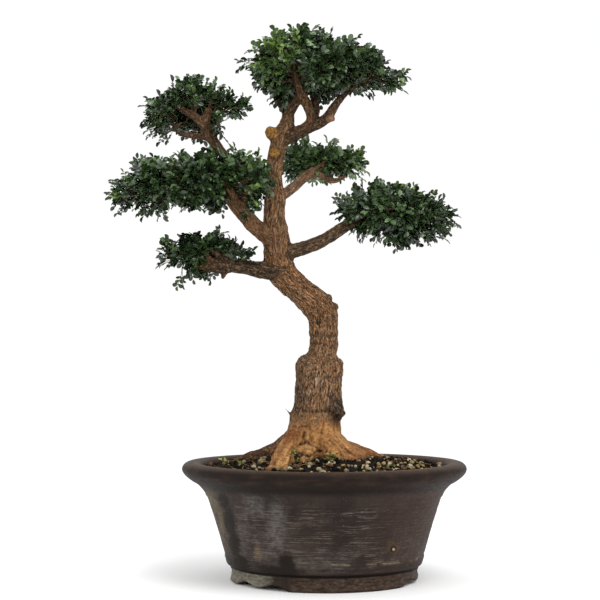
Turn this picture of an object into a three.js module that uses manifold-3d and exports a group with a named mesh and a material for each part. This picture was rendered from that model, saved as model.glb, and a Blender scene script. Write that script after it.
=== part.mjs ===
// A Chinese pepper bonsai: a chopped and regrown trunk on surface roots, six pads of pinnate leaves,
// and a round stoneware pot with a rolled lip and three cloud feet.
// Millimetres, +Z up, the front of the tree towards -Y. The origin lies on the table, below the middle
// of the tree's whole width.

import * as THREE from 'three';
import { mergeVertices } from 'three/addons/utils/BufferGeometryUtils.js';
import Module from 'manifold-3d';

const wasm = await Module();
wasm.setup();

// Driving dimensions
const clearance = 0.35;
const potCentreX = 47.4;
const potSides = 40;
const feet = { count: 3, firstGapDegrees: -14.4, archReach: 47.5, archHeight: 6.6, lobeHeight: 2.4 };
const footBand = { outer: 112, inner: 97, height: 18 };
const potFloor = { underside: 8, top: 18, innerRadius: 106 };
const lip = { outer: 169.8, inner: 146, height: 140.5 };
const drainHoleRadius = 14;
const screen = { side: 48, thickness: 1.6, holes: 3, holeSide: 9, pitch: 13.5 };
const drainageTop = 40;
const soilEdgeHeight = 134;
const soilGrains = 20;
const leafLengths = [26, 29, 32, 35, 38, 41, 44];
const leafHalfThickness = 0.8;
const leafSpacing = 28.5;
const coreDepth = 19;

// The wood, as rows of [x, y, z, radius] along each limb
const stump = [
  [34, 0, 112, 28], [34, 0, 132, 34], [34, 0, 150, 36], [35, 0, 172, 33], [37, 0, 190, 30.5],
  [40, 0, 212, 28.5], [41.5, 0, 238, 27.8], [42.5, 0, 258, 27.5], [43, 0, 266, 22],
];
const leader = [
  [43, 0, 240, 17], [44, 0, 270, 19.5], [46, 0, 290, 18], [46, 1, 312, 18.3], [41, 2, 325, 19.5],
  [22, 4, 339, 17.5], [7, 6, 353, 16.8], [-4, 6, 369, 18], [-8, 4, 388, 17.5], [-10, 2, 407, 15],
  [-13, 0, 432, 12.5], [-13, -2, 458, 11.5], [-13, -3, 485, 10.3], [-11, -3, 505, 10],
  [-8, -2, 520, 10.5], [-3, -1, 533, 10.3], [3, 0, 546, 9.5], [4, 0, 560, 7.2], [0, 2, 575, 6],
  [-8, 4, 592, 4.5],
];
const branches = [
  // Lower left
  [[-4, 0, 372, 11], [-22, -3, 371, 10.5], [-40, -6, 372, 9.2], [-58, -9, 376, 7.6], [-75, -12, 379, 6.8],
    [-88, -14, 378, 6], [-104, -16, 381, 4.5], [-114, -17, 384, 3.4]],
  [[-84, -14, 376, 5.5], [-97, -20, 372, 4.2], [-108, -24, 372, 2.8]],
  [[-64, -8, 378, 5], [-84, 8, 386, 3.6], [-100, 18, 390, 2.5]],
  // Middle left
  [[-6, 2, 398, 12], [-22, -6, 408, 10.5], [-37, -14, 421, 9], [-48, -22, 437, 8.2], [-62, -30, 452, 7],
    [-82, -38, 464, 5.8], [-108, -44, 472, 4.6], [-136, -46, 473, 3.2], [-152, -45, 471, 2.6]],
  [[-62, -30, 452, 6], [-74, -10, 464, 4.6], [-90, 8, 472, 3.2], [-110, 20, 474, 2.2]],
  [[-82, -38, 464, 5], [-96, -58, 468, 3.6], [-108, -68, 468, 3]],
  // Right
  [[-6, 2, 384, 10.5], [8, -2, 391, 9], [22, -5, 396, 8.2], [38, -8, 403, 7.4], [56, -10, 414, 7],
    [72, -12, 424, 6.4], [92, -14, 430, 5.2], [118, -14, 436, 4], [146, -12, 438, 3], [168, -10, 438, 2.2]],
  [[78, -13, 426, 5], [94, -28, 433, 3.8], [106, -36, 437, 2.8]],
  [[74, -12, 425, 5], [88, 8, 436, 3.8], [104, 26, 444, 2.8], [124, 36, 446, 2]],
  // Back, to the right of the trunk
  [[-12, 0, 452, 9], [-2, 8, 461, 7.5], [10, 16, 470, 6.8], [22, 24, 482, 6.4], [34, 30, 492, 6.6]],
  [[34, 30, 492, 5.5], [46, 34, 500, 4], [52, 38, 512, 2.8]],
  [[34, 30, 490, 5.5], [46, 34, 486, 5], [60, 36, 481, 4], [76, 42, 488, 2.8]],
  // Upper left
  [[-12, 0, 466, 8], [-24, 10, 481, 6.8], [-40, 18, 494, 6.4], [-58, 22, 502, 6.4], [-72, 24, 511, 6.3],
    [-84, 24, 526, 6.2], [-93, 22, 541, 6]],
  [[-92, 22, 538, 5.4], [-90, 20, 552, 4.8], [-88, 18, 562, 4.2]],
  [[-93, 22, 540, 5], [-104, 20, 550, 4.4], [-116, 18, 558, 3.4], [-130, 16, 566, 2.4]],
  [[-88, 23, 531, 5], [-104, 24, 534, 4.2], [-120, 22, 542, 3]],
  [[-86, 22, 536, 4], [-77, 19, 553, 3]],
  // Top, to the right of the trunk
  [[-4, 0, 524, 9], [6, -4, 530, 8.6], [20, -8, 535, 8.4], [30, -10, 541, 7.8]],
  [[29, -10, 538, 6.4], [32, -12, 552, 5.6], [27, -14, 566, 5.2], [20, -16, 580, 4.8], [15, -16, 596, 4.2],
    [10, -14, 614, 3]],
  [[28, -10, 538, 6.6], [42, -8, 545, 6.2], [52, -6, 556, 5.6], [60, -4, 570, 4.8], [72, 0, 584, 3.8],
    [90, 4, 596, 2.6]],
  // Top, a fork of the trunk itself
  [[2, 0, 560, 5.5], [-11, -8, 578, 4.2], [-18, -13, 597, 3]],
];
const roots = [
  [[26, -6, 182, 17], [9, -32, 158, 15], [0, -58, 146, 14], [-4, -84, 136, 13.5], [-9, -104, 125, 11],
    [-11, -113, 114, 6]],
  [[24, 4, 176, 15], [2, 12, 157, 14], [-22, 22, 145, 11], [-48, 30, 138, 9], [-72, 36, 124, 5]],
  [[42, 0, 176, 16], [64, 0, 154, 16], [84, 2, 148, 13], [104, 4, 142, 11], [124, 6, 134, 8],
    [138, 8, 122, 5]],
  [[42, -8, 172, 15], [60, -24, 152, 14], [80, -36, 140, 11], [98, -44, 126, 6]],
  [[34, -14, 168, 14], [29, -36, 150, 11], [26, -52, 140, 9], [24, -64, 126, 5]],
  [[36, 12, 174, 15], [40, 38, 152, 13], [46, 60, 140, 10], [53, 84, 124, 5]],
  [[48, 10, 174, 14], [72, 32, 150, 12], [94, 48, 130, 7]],
];
// Cut stubs and knots, each a short run from inside the wood to its face
const stubs = [
  [[-8, -2, 528, 6], [-17, -6, 532, 6.4], [-20, -8, 534, 4.6]],
  [[-11, -2, 509, 5.4], [-12, -12.5, 509, 5.2], [-12, -13.6, 509, 3.4]],
  [[44, 0, 330, 7], [54, -2, 338, 6], [58, -2, 341, 4]],
  [[44, 0, 320, 7], [60, 1, 325, 5.4], [65, 1, 326, 3.6]],
  [[52, 0, 212, 12], [64, -2, 208, 10], [69, -2, 206, 6]],
  [[50, -8, 551, 5], [57, -12, 550, 4.6], [61, -13, 549, 3]],
];

// The foliage: each pad's middle, and its outline as lobes of
// [x, y, z, half width, half depth, half height]
const pads = [
  {
    name: 'foliage_top',
    middle: [45, 0, 612],
    lobes: [
      [-27, -18, 609, 26, 28, 24], [0, 8, 633, 38, 34, 29], [36, -12, 642, 36, 34, 24],
      [73, 10, 627, 42, 36, 29], [112, -6, 611, 35, 32, 24], [72, -30, 600, 40, 32, 22],
      [-3, -22, 595, 24, 26, 24], [48, 4, 586, 24, 28, 20], [30, 44, 614, 44, 34, 27],
      [82, 42, 604, 38, 32, 24], [30, -50, 608, 42, 30, 24],
    ],
  },
  {
    name: 'foliage_upper_left',
    middle: [-108, 18, 566],
    lobes: [
      [-149, 10, 553, 26, 30, 26], [-120, 26, 582, 30, 32, 25], [-88, 8, 577, 32, 30, 24],
      [-56, 14, 566, 22, 22, 14], [-116, -8, 552, 28, 28, 20], [-108, 50, 562, 34, 26, 22],
    ],
  },
  {
    name: 'foliage_middle_left',
    middle: [-112, -42, 468],
    lobes: [
      [-190, -36, 463, 27, 28, 26], [-155, -48, 468, 33, 34, 32], [-116, -36, 474, 36, 36, 34],
      [-73, -60, 469, 34, 34, 34], [-34, -52, 466, 30, 28, 30], [-138, -6, 466, 38, 32, 28],
      [-92, 2, 470, 34, 28, 28], [-124, -84, 462, 40, 28, 27],
    ],
  },
  {
    name: 'foliage_lower_left',
    middle: [-92, -10, 388],
    lobes: [
      [-135, -12, 386, 20, 24, 23], [-108, -20, 388, 26, 30, 30], [-77, -4, 389, 27, 30, 28],
      [-48, -14, 388, 20, 22, 20], [-98, 22, 386, 30, 24, 24], [-92, -42, 385, 30, 24, 23],
    ],
  },
  {
    name: 'foliage_back',
    middle: [48, 50, 504],
    lobes: [
      [17, 54, 507, 21, 26, 25], [41, 38, 509, 25, 30, 25], [71, 46, 507, 26, 30, 26],
      [92, 44, 490, 16, 22, 18], [46, 74, 502, 34, 26, 24],
    ],
  },
  {
    name: 'foliage_right',
    middle: [132, -10, 436],
    lobes: [
      [76, -14, 439, 24, 28, 25], [107, -2, 441, 31, 34, 33], [143, -18, 436, 33, 34, 32],
      [178, -8, 436, 27, 28, 25], [201, -12, 434, 15, 16, 11], [128, 30, 436, 40, 28, 26],
      [130, -50, 434, 40, 26, 25],
    ],
  },
];

// Half of one leaf's outline: a stalk, one leaflet and half the end leaflet, as [share of length, share
// of length sideways, share of thickness]. Only points beside the rib have thickness.
const leafSide = [[0.3, 0.04, 1], [0.27, 0.33, 0], [0.5, 0.46, 0], [0.57, 0.05, 1], [0.76, 0.25, 0]];
const leafFoot = [0, 0, 0];
const leafTip = [1, 0, 0];
// The blade's triangles, as numbers of points on the outline from the foot round by the tip
const leafFaces = [
  [0, 1, 11], [1, 4, 8], [1, 8, 11], [1, 2, 3], [1, 3, 4], [8, 9, 10], [8, 10, 11],
  [4, 5, 6], [4, 6, 7], [4, 7, 8],
];

// A closed mesh as a solid that can be joined and cut
function solid(geometry) {
  geometry.deleteAttribute('normal');
  geometry.deleteAttribute('uv');
  const merged = mergeVertices(geometry, 1e-4);
  const corners = [];
  for (let i = 0; i < merged.index.count; i += 3) {
    const [a, b, c] = [0, 1, 2].map((k) => merged.index.getX(i + k));
    if (a !== b && b !== c && c !== a) corners.push(a, b, c);
  }
  return new wasm.Manifold(new wasm.Mesh({
    numProp: 3,
    vertProperties: Float32Array.from(merged.attributes.position.array),
    triVerts: Uint32Array.from(corners),
  }));
}

const joined = (solids) => solids.reduce((whole, piece) => whole.add(piece));

// The solid's largest closed body as a three.js geometry: scraps and sealed hollows are dropped
function bodyOf(whole) {
  const { vertProperties, triVerts } = whole.getMesh();
  const positions = new THREE.BufferGeometry();
  positions.setAttribute('position', new THREE.BufferAttribute(Float32Array.from(vertProperties), 3));
  const owner = Array.from({ length: vertProperties.length / 3 }, (_, i) => i);
  const find = (i) => {
    while (owner[i] !== i) i = owner[i] = owner[owner[i]];
    return i;
  };
  for (let i = 0; i < triVerts.length; i += 3) {
    owner[find(triVerts[i])] = find(triVerts[i + 1]);
    owner[find(triVerts[i + 1])] = find(triVerts[i + 2]);
  }
  const bodies = new Map();
  const corner = [0, 1, 2].map(() => new THREE.Vector3());
  for (let i = 0; i < triVerts.length; i += 3) {
    const body = bodies.get(find(triVerts[i])) ?? { volume: 0, triangles: [] };
    bodies.set(find(triVerts[i]), body);
    corner.forEach((point, k) => point.fromBufferAttribute(positions.attributes.position, triVerts[i + k]));
    body.volume += corner[0].dot(corner[1].clone().cross(corner[2])) / 6;
    body.triangles.push(triVerts[i], triVerts[i + 1], triVerts[i + 2]);
  }
  const largest = [...bodies.values()].reduce((a, b) => (b.volume > a.volume ? b : a));
  positions.setIndex(largest.triangles);
  const geometry = positions.toNonIndexed();
  geometry.computeVertexNormals();
  return geometry;
}

// A closed tube through rows of [x, y, z, radius], with one ring of corners for each row
function limb(rows, sides, lumps = 0, grow = 0) {
  const last = rows.length - 1;
  const centres = rows.map(([x, y, z]) => new THREE.Vector3(x, y, z));
  const curve = new THREE.CatmullRomCurve3(centres, false, 'centripetal');
  const normal = new THREE.Vector3(0, -1, 0.01);
  const rings = rows.map((row, i) => {
    const tangent = curve.getTangent(i / last);
    normal.addScaledVector(tangent, -normal.dot(tangent)).normalize();
    const centre = curve.getPoint(i / last);
    if (i === 0) centre.addScaledVector(tangent, -grow);
    if (i === last) centre.addScaledVector(tangent, grow);
    const side = new THREE.Vector3().crossVectors(normal, tangent);
    return { centre, normal: normal.clone(), side, radius: row[3] };
  });
  const geometry = new THREE.CylinderGeometry(1, 1, 1, sides, last);
  const position = geometry.attributes.position;
  const point = new THREE.Vector3();
  for (let v = 0; v < position.count; v += 1) {
    point.fromBufferAttribute(position, v);
    const i = Math.round((point.y + 0.5) * last);
    const angle = Math.atan2(point.z, point.x);
    const lump = 1 + lumps * (Math.sin(3 * angle + 1.7 * i) + Math.sin(2 * angle - 2.3 * i));
    const reach = rings[i].radius * lump + grow;
    const { x, z } = point;
    point.copy(rings[i].centre);
    point.addScaledVector(rings[i].normal, x * reach).addScaledVector(rings[i].side, z * reach);
    position.setXYZ(v, point.x, point.y, point.z);
  }
  return solid(geometry);
}

// The whole tree without its leaves; grow > 0 gives the socket that it stands in
function woodSolid(grow = 0) {
  const pieces = [
    limb(stump, 12, 0.035, grow),
    limb(leader, 10, 0.03, grow),
    ...roots.map((rows) => limb(rows, 7, 0.04, grow)),
    ...branches.map((rows) => limb(rows, rows.length > 4 ? 6 : 4, 0.02, grow)),
    ...stubs.map((rows) => limb(rows, 5, 0, grow)),
  ];
  return joined(pieces);
}

// A solid turned about the pot's axis from its outline as [radius, height]
function ring(points) {
  const turned = new THREE.LatheGeometry(points.map(([r, z]) => new THREE.Vector2(r, z)), potSides);
  return solid(turned.rotateX(Math.PI / 2).translate(potCentreX, 0, 0));
}

// The pot: turned, with the gaps between its feet cut out
function potSolid() {
  const body = ring([
    [drainHoleRadius, potFloor.underside], [footBand.inner, potFloor.underside], [footBand.inner, 0],
    [footBand.outer, 0], [footBand.outer - 1.5, 12], [113, footBand.height],
    [116.4, 21], [129, 64], [141.6, 102.6], [149, 112], [164, 120],
    [lip.outer, 130.5], [167, 137], [159, lip.height], [lip.inner, 136],
    [potFloor.innerRadius, potFloor.top], [drainHoleRadius, potFloor.top],
    [drainHoleRadius, potFloor.underside],
  ]);
  const gaps = Array.from({ length: feet.count }, (_, i) => feet.firstGapDegrees + i * 360 / feet.count);
  return gaps.reduce((pot, turn) => pot.subtract(cloudArch(THREE.MathUtils.degToRad(turn))), body);
}

// The gap between two feet: two low arches with a lobe hanging between them
function cloudArch(turn) {
  const { archReach: reach, archHeight: top, lobeHeight: lobe } = feet;
  const crown = reach / 2;
  const outline = new THREE.Shape();
  outline.moveTo(-reach - 4, -3);
  outline.lineTo(reach + 4, -3);
  outline.lineTo(reach, 0);
  outline.bezierCurveTo(reach * 0.75, 0, reach * 0.75, top, crown, top);
  outline.bezierCurveTo(crown * 0.6, top, crown * 0.5, lobe, 0, lobe);
  outline.bezierCurveTo(-crown * 0.5, lobe, -crown * 0.6, top, -crown, top);
  outline.bezierCurveTo(-reach * 0.75, top, -reach * 0.75, 0, -reach, 0);
  const cut = new THREE.ExtrudeGeometry(outline, { depth: 45, bevelEnabled: false, curveSegments: 4 });
  cut.rotateX(Math.PI / 2).rotateZ(Math.PI / 2).translate(80, 0, 0).rotateZ(turn);
  return solid(cut.translate(potCentreX, 0, 0));
}

const innerRadiusAt = (z) => THREE.MathUtils.mapLinear(
  z, potFloor.top, 136, potFloor.innerRadius - clearance, lip.inner - clearance,
);

function screenSolid() {
  const { side, thickness, holes, holeSide, pitch } = screen;
  const middle = potFloor.top + clearance + thickness / 2;
  const plate = solid(new THREE.BoxGeometry(side, side, thickness).translate(potCentreX, 0, middle));
  const cuts = Array.from({ length: holes * holes }, (_, i) => {
    const x = (i % holes - (holes - 1) / 2) * pitch;
    const y = (Math.floor(i / holes) - (holes - 1) / 2) * pitch;
    const hole = new THREE.BoxGeometry(holeSide, holeSide, 2 * thickness);
    return solid(hole.translate(potCentreX + x, y, middle));
  });
  return cuts.reduce((mesh, cut) => mesh.subtract(cut), plate);
}

function drainageSolid() {
  const bottom = potFloor.top + clearance;
  const bed = ring([[0, bottom], [innerRadiusAt(bottom), bottom], [innerRadiusAt(drainageTop), drainageTop],
    [0, drainageTop]]);
  const side = screen.side + 2 * clearance;
  const height = 2 * (screen.thickness + clearance);
  return bed.subtract(solid(new THREE.BoxGeometry(side, side, height).translate(potCentreX, 0, bottom)));
}

// The soil's mound, with loose grit pressed into it, cut to the roots
function soilSolid(socket) {
  const bottom = drainageTop + clearance;
  const profile = [
    [0, bottom], [innerRadiusAt(bottom), bottom], [innerRadiusAt(soilEdgeHeight), soilEdgeHeight],
    [104, 138], [60, 145], [0, 151],
  ];
  const mound = new THREE.LatheGeometry(profile.map(([r, z]) => new THREE.Vector2(r, z)), potSides);
  mound.rotateX(Math.PI / 2);
  const position = mound.attributes.position;
  for (let v = 0; v < position.count; v += 1) {
    const [x, y, z] = [position.getX(v), position.getY(v), position.getZ(v)];
    if (z > soilEdgeHeight + 1) position.setZ(v, z + 1.6 * Math.sin(x / 9 + 1) * Math.cos(y / 7));
  }
  let soil = solid(mound.translate(potCentreX, 0, 0));
  for (let i = 0; i < soilGrains; i += 1) {
    const turn = i * Math.PI * (3 - Math.sqrt(5));
    const radius = 134 * Math.sqrt((i + 10) / (soilGrains + 10));
    const size = 5 + 3 * Math.abs(Math.sin(i * 12.9));
    const height = THREE.MathUtils.mapLinear(radius, 50, 134, 147, 135.5);
    const grain = new THREE.OctahedronGeometry(size, 0).rotateX(i).rotateY(2 * i).scale(1.2, 1, 0.9);
    grain.translate(potCentreX + radius * Math.cos(turn), radius * Math.sin(turn), height);
    soil = soil.add(solid(grain));
  }
  return soil.subtract(socket);
}

// One pinnate leaf as a thin arched blade that runs along a direction to its tip and faces up
function leafSolid({ tip, along, up, length }) {
  const side = new THREE.Vector3().crossVectors(up, along).normalize();
  const face = new THREE.Vector3().crossVectors(along, side);
  const otherSide = leafSide.map(([t, w, thick]) => [t, -w, thick]).reverse();
  const outline = [leafFoot, ...leafSide, leafTip, ...otherSide];
  const [top, bottom] = [1, -1].map((layer) => outline.map(([t, w, thick]) => {
    const lift = (0.5 * t * (1 - t) - 0.3 * Math.abs(w)) * length + layer * thick * leafHalfThickness;
    return tip.clone().addScaledVector(along, (t - 1) * length)
      .addScaledVector(side, w * length).addScaledVector(face, lift);
  }));
  const corners = [];
  leafFaces.forEach(([a, b, c]) => corners.push(top[c], top[b], top[a], bottom[a], bottom[b], bottom[c]));
  outline.forEach((_, a) => {
    const b = (a + 1) % outline.length;
    corners.push(top[a], top[b], bottom[b], top[a], bottom[b], bottom[a]);
  });
  return solid(new THREE.BufferGeometry().setFromPoints(corners));
}

// How far a pad's outline lies from its middle along a direction: where the ray leaves the last lobe
function reachOf({ lobes, middle }, direction) {
  let reach = 0;
  lobes.forEach(([x, y, z, a, b, c]) => {
    const start = new THREE.Vector3((middle.x - x) / a, (middle.y - y) / b, (middle.z - z) / c);
    const step = new THREE.Vector3(direction.x / a, direction.y / b, direction.z / c);
    const [square, half] = [step.lengthSq(), start.dot(step)];
    const root = half * half - square * (start.lengthSq() - 1);
    if (root > 0) reach = Math.max(reach, (Math.sqrt(root) - half) / square);
  });
  return reach;
}

// How far a pad's core reaches, so much inside the outline that the leaves stand out of it
function coreReach(pad, direction) {
  const reach = reachOf(pad, direction);
  return Math.max(0.35 * reach, reach - coreDepth * (1.6 - 0.6 * Math.abs(direction.z)));
}

// 1 on the surface of a pad's core, less inside it and more outside
function offCore(pad, point) {
  const direction = point.clone().sub(pad.middle);
  const distance = direction.length();
  return distance / coreReach(pad, direction.normalize());
}

// The outline's outward direction where the ray from the middle leaves it
function outlineNormal({ middle, lobes }, direction) {
  const slope = new THREE.Vector3();
  let reach = 0;
  lobes.forEach((lobe) => {
    const distance = reachOf({ middle, lobes: [lobe] }, direction);
    if (distance <= reach) return;
    reach = distance;
    const point = middle.clone().addScaledVector(direction, distance);
    point.toArray().forEach((value, k) => slope.setComponent(k, (value - lobe[k]) / lobe[k + 3] ** 2));
  });
  return slope.normalize();
}

// Directions all round a pad: its furthest points first, then an even spiral
function spread(count) {
  const golden = Math.PI * (3 - Math.sqrt(5));
  const ends = [[0, 0, 1], [1, 0, 0], [-1, 0, 0], [0, -1, 0], [0, 1, 0], [0, 0, -1]];
  const spiral = Array.from({ length: count }, (_, i) => {
    const height = 1 - 2 * (i + 0.5) / count;
    const flat = Math.sqrt(1 - height * height);
    return [flat * Math.cos(i * golden), flat * Math.sin(i * golden), height];
  });
  return [...ends, ...spiral].map((d) => new THREE.Vector3(...d));
}

// A pad: leaves all round its core whose tips reach its outline and that cross no other leaf
function padSolid({ middle, lobes }) {
  const pad = { middle: new THREE.Vector3(...middle), lobes };
  const lump = new THREE.IcosahedronGeometry(1, 2);
  const position = lump.attributes.position;
  const direction = new THREE.Vector3();
  for (let v = 0; v < position.count; v += 1) {
    direction.fromBufferAttribute(position, v).normalize();
    const point = direction.clone().multiplyScalar(coreReach(pad, direction)).add(pad.middle);
    position.setXYZ(v, point.x, point.y, point.z);
  }
  const core = solid(lump);
  const tips = [];
  let bunch = null;
  spread(700).forEach((way, i) => {
    const tip = pad.middle.clone().addScaledVector(way, reachOf(pad, way));
    if (tips.some((other) => other.distanceTo(tip) < leafSpacing)) return;
    const isFree = (one) => (!bunch || bunch.intersect(one).isEmpty()) && !core.intersect(one).isEmpty();
    const blade = leavesTo(pad, tip, i).map(leafSolid).find(isFree);
    if (!blade) return;
    tips.push(tip);
    bunch = bunch ? bunch.add(blade) : blade;
  });
  return core.add(bunch);
}

// The ways to set a leaf with its tip at a point and its foot in the core, drooping outwards if it can
function leavesTo(pad, tip, turn) {
  const outward = outlineNormal(pad, tip.clone().sub(pad.middle).normalize());
  const across = new THREE.Vector3(tip.x - pad.middle.x, tip.y - pad.middle.y, 0).normalize();
  across.z = -0.7;
  across.addScaledVector(outward, -across.dot(outward)).normalize();
  const up = outward.clone().addScaledVector(new THREE.Vector3(0, 0, 1), 0.4).normalize();
  const ways = [];
  for (const rise of [0.45, 0.55, 0.65, 0.8, 0.99]) {
    for (const lean of [0, 0.6, -0.6, 1.2, -1.2, 2, -2, 3]) {
      const sideways = across.clone().applyAxisAngle(outward, lean + 0.5 * Math.sin(5 * turn));
      const along = outward.clone().lerp(sideways, 1 - rise).normalize();
      const length = leafLengths.find((l) => offCore(pad, tip.clone().addScaledVector(along, -l)) < 0.9);
      const tilted = up.clone().applyAxisAngle(along, 0.4 * Math.sin(2.4 * turn));
      if (length) ways.push({ tip, along, up: tilted, length });
    }
  }
  return ways;
}

const material = (color, roughness) => new THREE.MeshStandardMaterial({ color, roughness, metalness: 0 });
const stoneware = material('#42383a', 0.7);
const bark = material('#735740', 0.9);
const earth = material('#3a2f27', 1);
const grit = material('#8b7d68', 1);
const plastic = material('#1d1f1e', 0.6);
const leaf = material('#2f3d29', 0.45);

const bonsai = new THREE.Group();

function addPiece(name, whole, finish) {
  const piece = new THREE.Mesh(bodyOf(whole), finish);
  piece.name = name;
  bonsai.add(piece);
}

const socket = woodSolid(clearance);
addPiece('pot', potSolid(), stoneware);
addPiece('drain_screen', screenSolid(), plastic);
addPiece('drainage_layer', drainageSolid(), grit);
addPiece('soil', soilSolid(socket), earth);
addPiece('trunk_and_branches', woodSolid(), bark);
pads.forEach((pad) => addPiece(pad.name, padSolid(pad).subtract(socket), leaf));

export default bonsai;
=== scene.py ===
# A Chinese pepper bonsai in a footed stoneware pot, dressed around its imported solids.
# Sizes are in millimetres, as in the part's own source, and become metres as each mesh is made.
import math
from itertools import product

import bmesh
import bpy
import numpy as np
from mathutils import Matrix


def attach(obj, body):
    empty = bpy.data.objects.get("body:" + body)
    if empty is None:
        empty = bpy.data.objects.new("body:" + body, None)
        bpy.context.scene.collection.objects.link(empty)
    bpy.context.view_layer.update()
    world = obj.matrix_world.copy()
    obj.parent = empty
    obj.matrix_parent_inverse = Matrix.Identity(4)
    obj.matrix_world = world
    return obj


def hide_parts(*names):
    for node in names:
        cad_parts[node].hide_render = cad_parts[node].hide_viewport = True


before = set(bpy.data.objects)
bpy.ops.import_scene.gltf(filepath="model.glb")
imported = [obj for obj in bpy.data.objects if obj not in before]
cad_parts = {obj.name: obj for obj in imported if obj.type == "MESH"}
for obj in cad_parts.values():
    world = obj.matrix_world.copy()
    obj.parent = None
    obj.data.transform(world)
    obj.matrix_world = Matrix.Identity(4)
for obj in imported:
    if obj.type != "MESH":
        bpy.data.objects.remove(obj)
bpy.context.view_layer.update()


# Camera: a long lens 1.8 m in front of the pot, level with the top of the old stump and tipped up a
# little, as the tree was photographed on its bench.
camera = bpy.data.objects.new("camera", bpy.data.cameras.new("camera"))
camera.data.lens = 90
camera.data.sensor_width = 36
camera.location = (0.0186, -1.8, 0.261)
camera.rotation_euler = (math.radians(92.29), 0, 0)
bpy.context.collection.objects.link(camera)
bpy.context.scene.camera = camera


# Pot: unglazed brown stoneware, turned on a wheel, with a rolled lip, a groove above the foot band
# and three cloud-shaped feet cut from the band. Years of watering left lime, dark runs and streaks.
POT_X = 47.4
# The outline as turned: distance from the axis and height, from the drain hole round and back to it
POT_OUTLINE = [
    (14, 8), (60, 8), (95, 8), (97, 6.6), (97, 3), (97, 1.2), (98.2, 0), (104, 0), (110.2, 0),
    (111.8, 1.2), (111.6, 4), (111, 8), (110.6, 11.5), (111.2, 14), (112, 15.6), (112.1, 16.6),
    (111, 17.5), (110.8, 18.4), (112.6, 19.2), (115.6, 19.9), (116.6, 21.4), (118.4, 27), (122.2, 40),
    (126, 53), (129.2, 64), (133, 76), (137, 88.5), (141.2, 101), (143.6, 106), (147.4, 110.6),
    (151.6, 114.8), (156.6, 117.6), (161.4, 120.8), (165.8, 124.8), (168.8, 128.9), (169.7, 132.2),
    (168.7, 135.4), (165.8, 138.5), (161.6, 140.2), (157, 140.4), (152, 139.6), (148, 137.6),
    (146, 134), (144.6, 129), (136, 103), (121, 60), (107, 22), (104.5, 18.6), (98, 18), (60, 18),
    (16, 18), (14, 16.6),
]
FOOT_GAPS = [math.radians(degrees) for degrees in (-134.4, -14.4, 105.6)]
# Of each gap between two feet: half its width and half of that again, its height, how much of the
# height is left under the lobe in its middle, and how far the gap rises from there
GAP_HALF = 47.5
ARCH_HALF = 23.75
ARCH_HIGH = 6.6
LOBE_LOW = 2.4
LOBE_RISE = 4.2
# How far the wall is turned in between the foot band and the lip
WALL_INSET = 1.1
# A small chip in the wall, as seen from the pot's axis
CHIP = (76.7, -97.7, 47.6)


def chance(cells, salt=0):
    """A repeatable number from 0 to 1 for each whole-numbered cell"""
    mixed = (cells * np.array([73856093, 19349663, 83492791])).sum(-1) + salt * 265443576
    mixed = ((mixed ^ (mixed >> 13)) * 1274126177) & 0x7FFFFFFF
    return ((mixed ^ (mixed >> 15)) & 0xFFFF) / 65536


def lumps(points, size, salt=0, stretch=(1, 1, 1)):
    """Soft noise from -1 to 1 whose lumps are about that size, longer where stretch is above 1"""
    where = np.asarray(points, float) / (size * np.array(stretch))
    cells = np.floor(where).astype(np.int64)
    part = where - cells
    part = part * part * (3 - 2 * part)
    total = np.zeros(len(where))
    for corner in product((0, 1), repeat=3):
        weight = np.prod(np.where(np.array(corner), part, 1 - part), axis=-1)
        total += weight * chance(cells + np.array(corner), salt)
    return 2 * total - 1


def paint(red, green, blue):
    """A colour as the eye names it, 0 to 255, in the linear form that shaders take"""
    return tuple(c / 12.92 if c <= 0.04045 else ((c + 0.055) / 1.055) ** 2.4
                 for c in (red / 255, green / 255, blue / 255)) + (1,)


def ringed(rows, around, loop=False):
    """Faces over rings of points, where the last ring joins the first or both ends are closed"""
    faces = [(i * around + k, i * around + (k + 1) % around,
              (i + 1) % rows * around + (k + 1) % around, (i + 1) % rows * around + k)
             for i in range(rows if loop else rows - 1) for k in range(around)]
    if not loop:
        faces += [tuple(range(around))[::-1], tuple((rows - 1) * around + k for k in range(around))]
    return faces


def shaped(name, points, faces):
    """A smooth-shaded mesh object from points in millimetres"""
    mesh = bpy.data.meshes.new(name)
    mesh.from_pydata((np.asarray(points, float) / 1000).tolist(), [], faces)
    mesh.shade_smooth()
    thing = bpy.data.objects.new(name, mesh)
    bpy.context.collection.objects.link(thing)
    return thing


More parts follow.
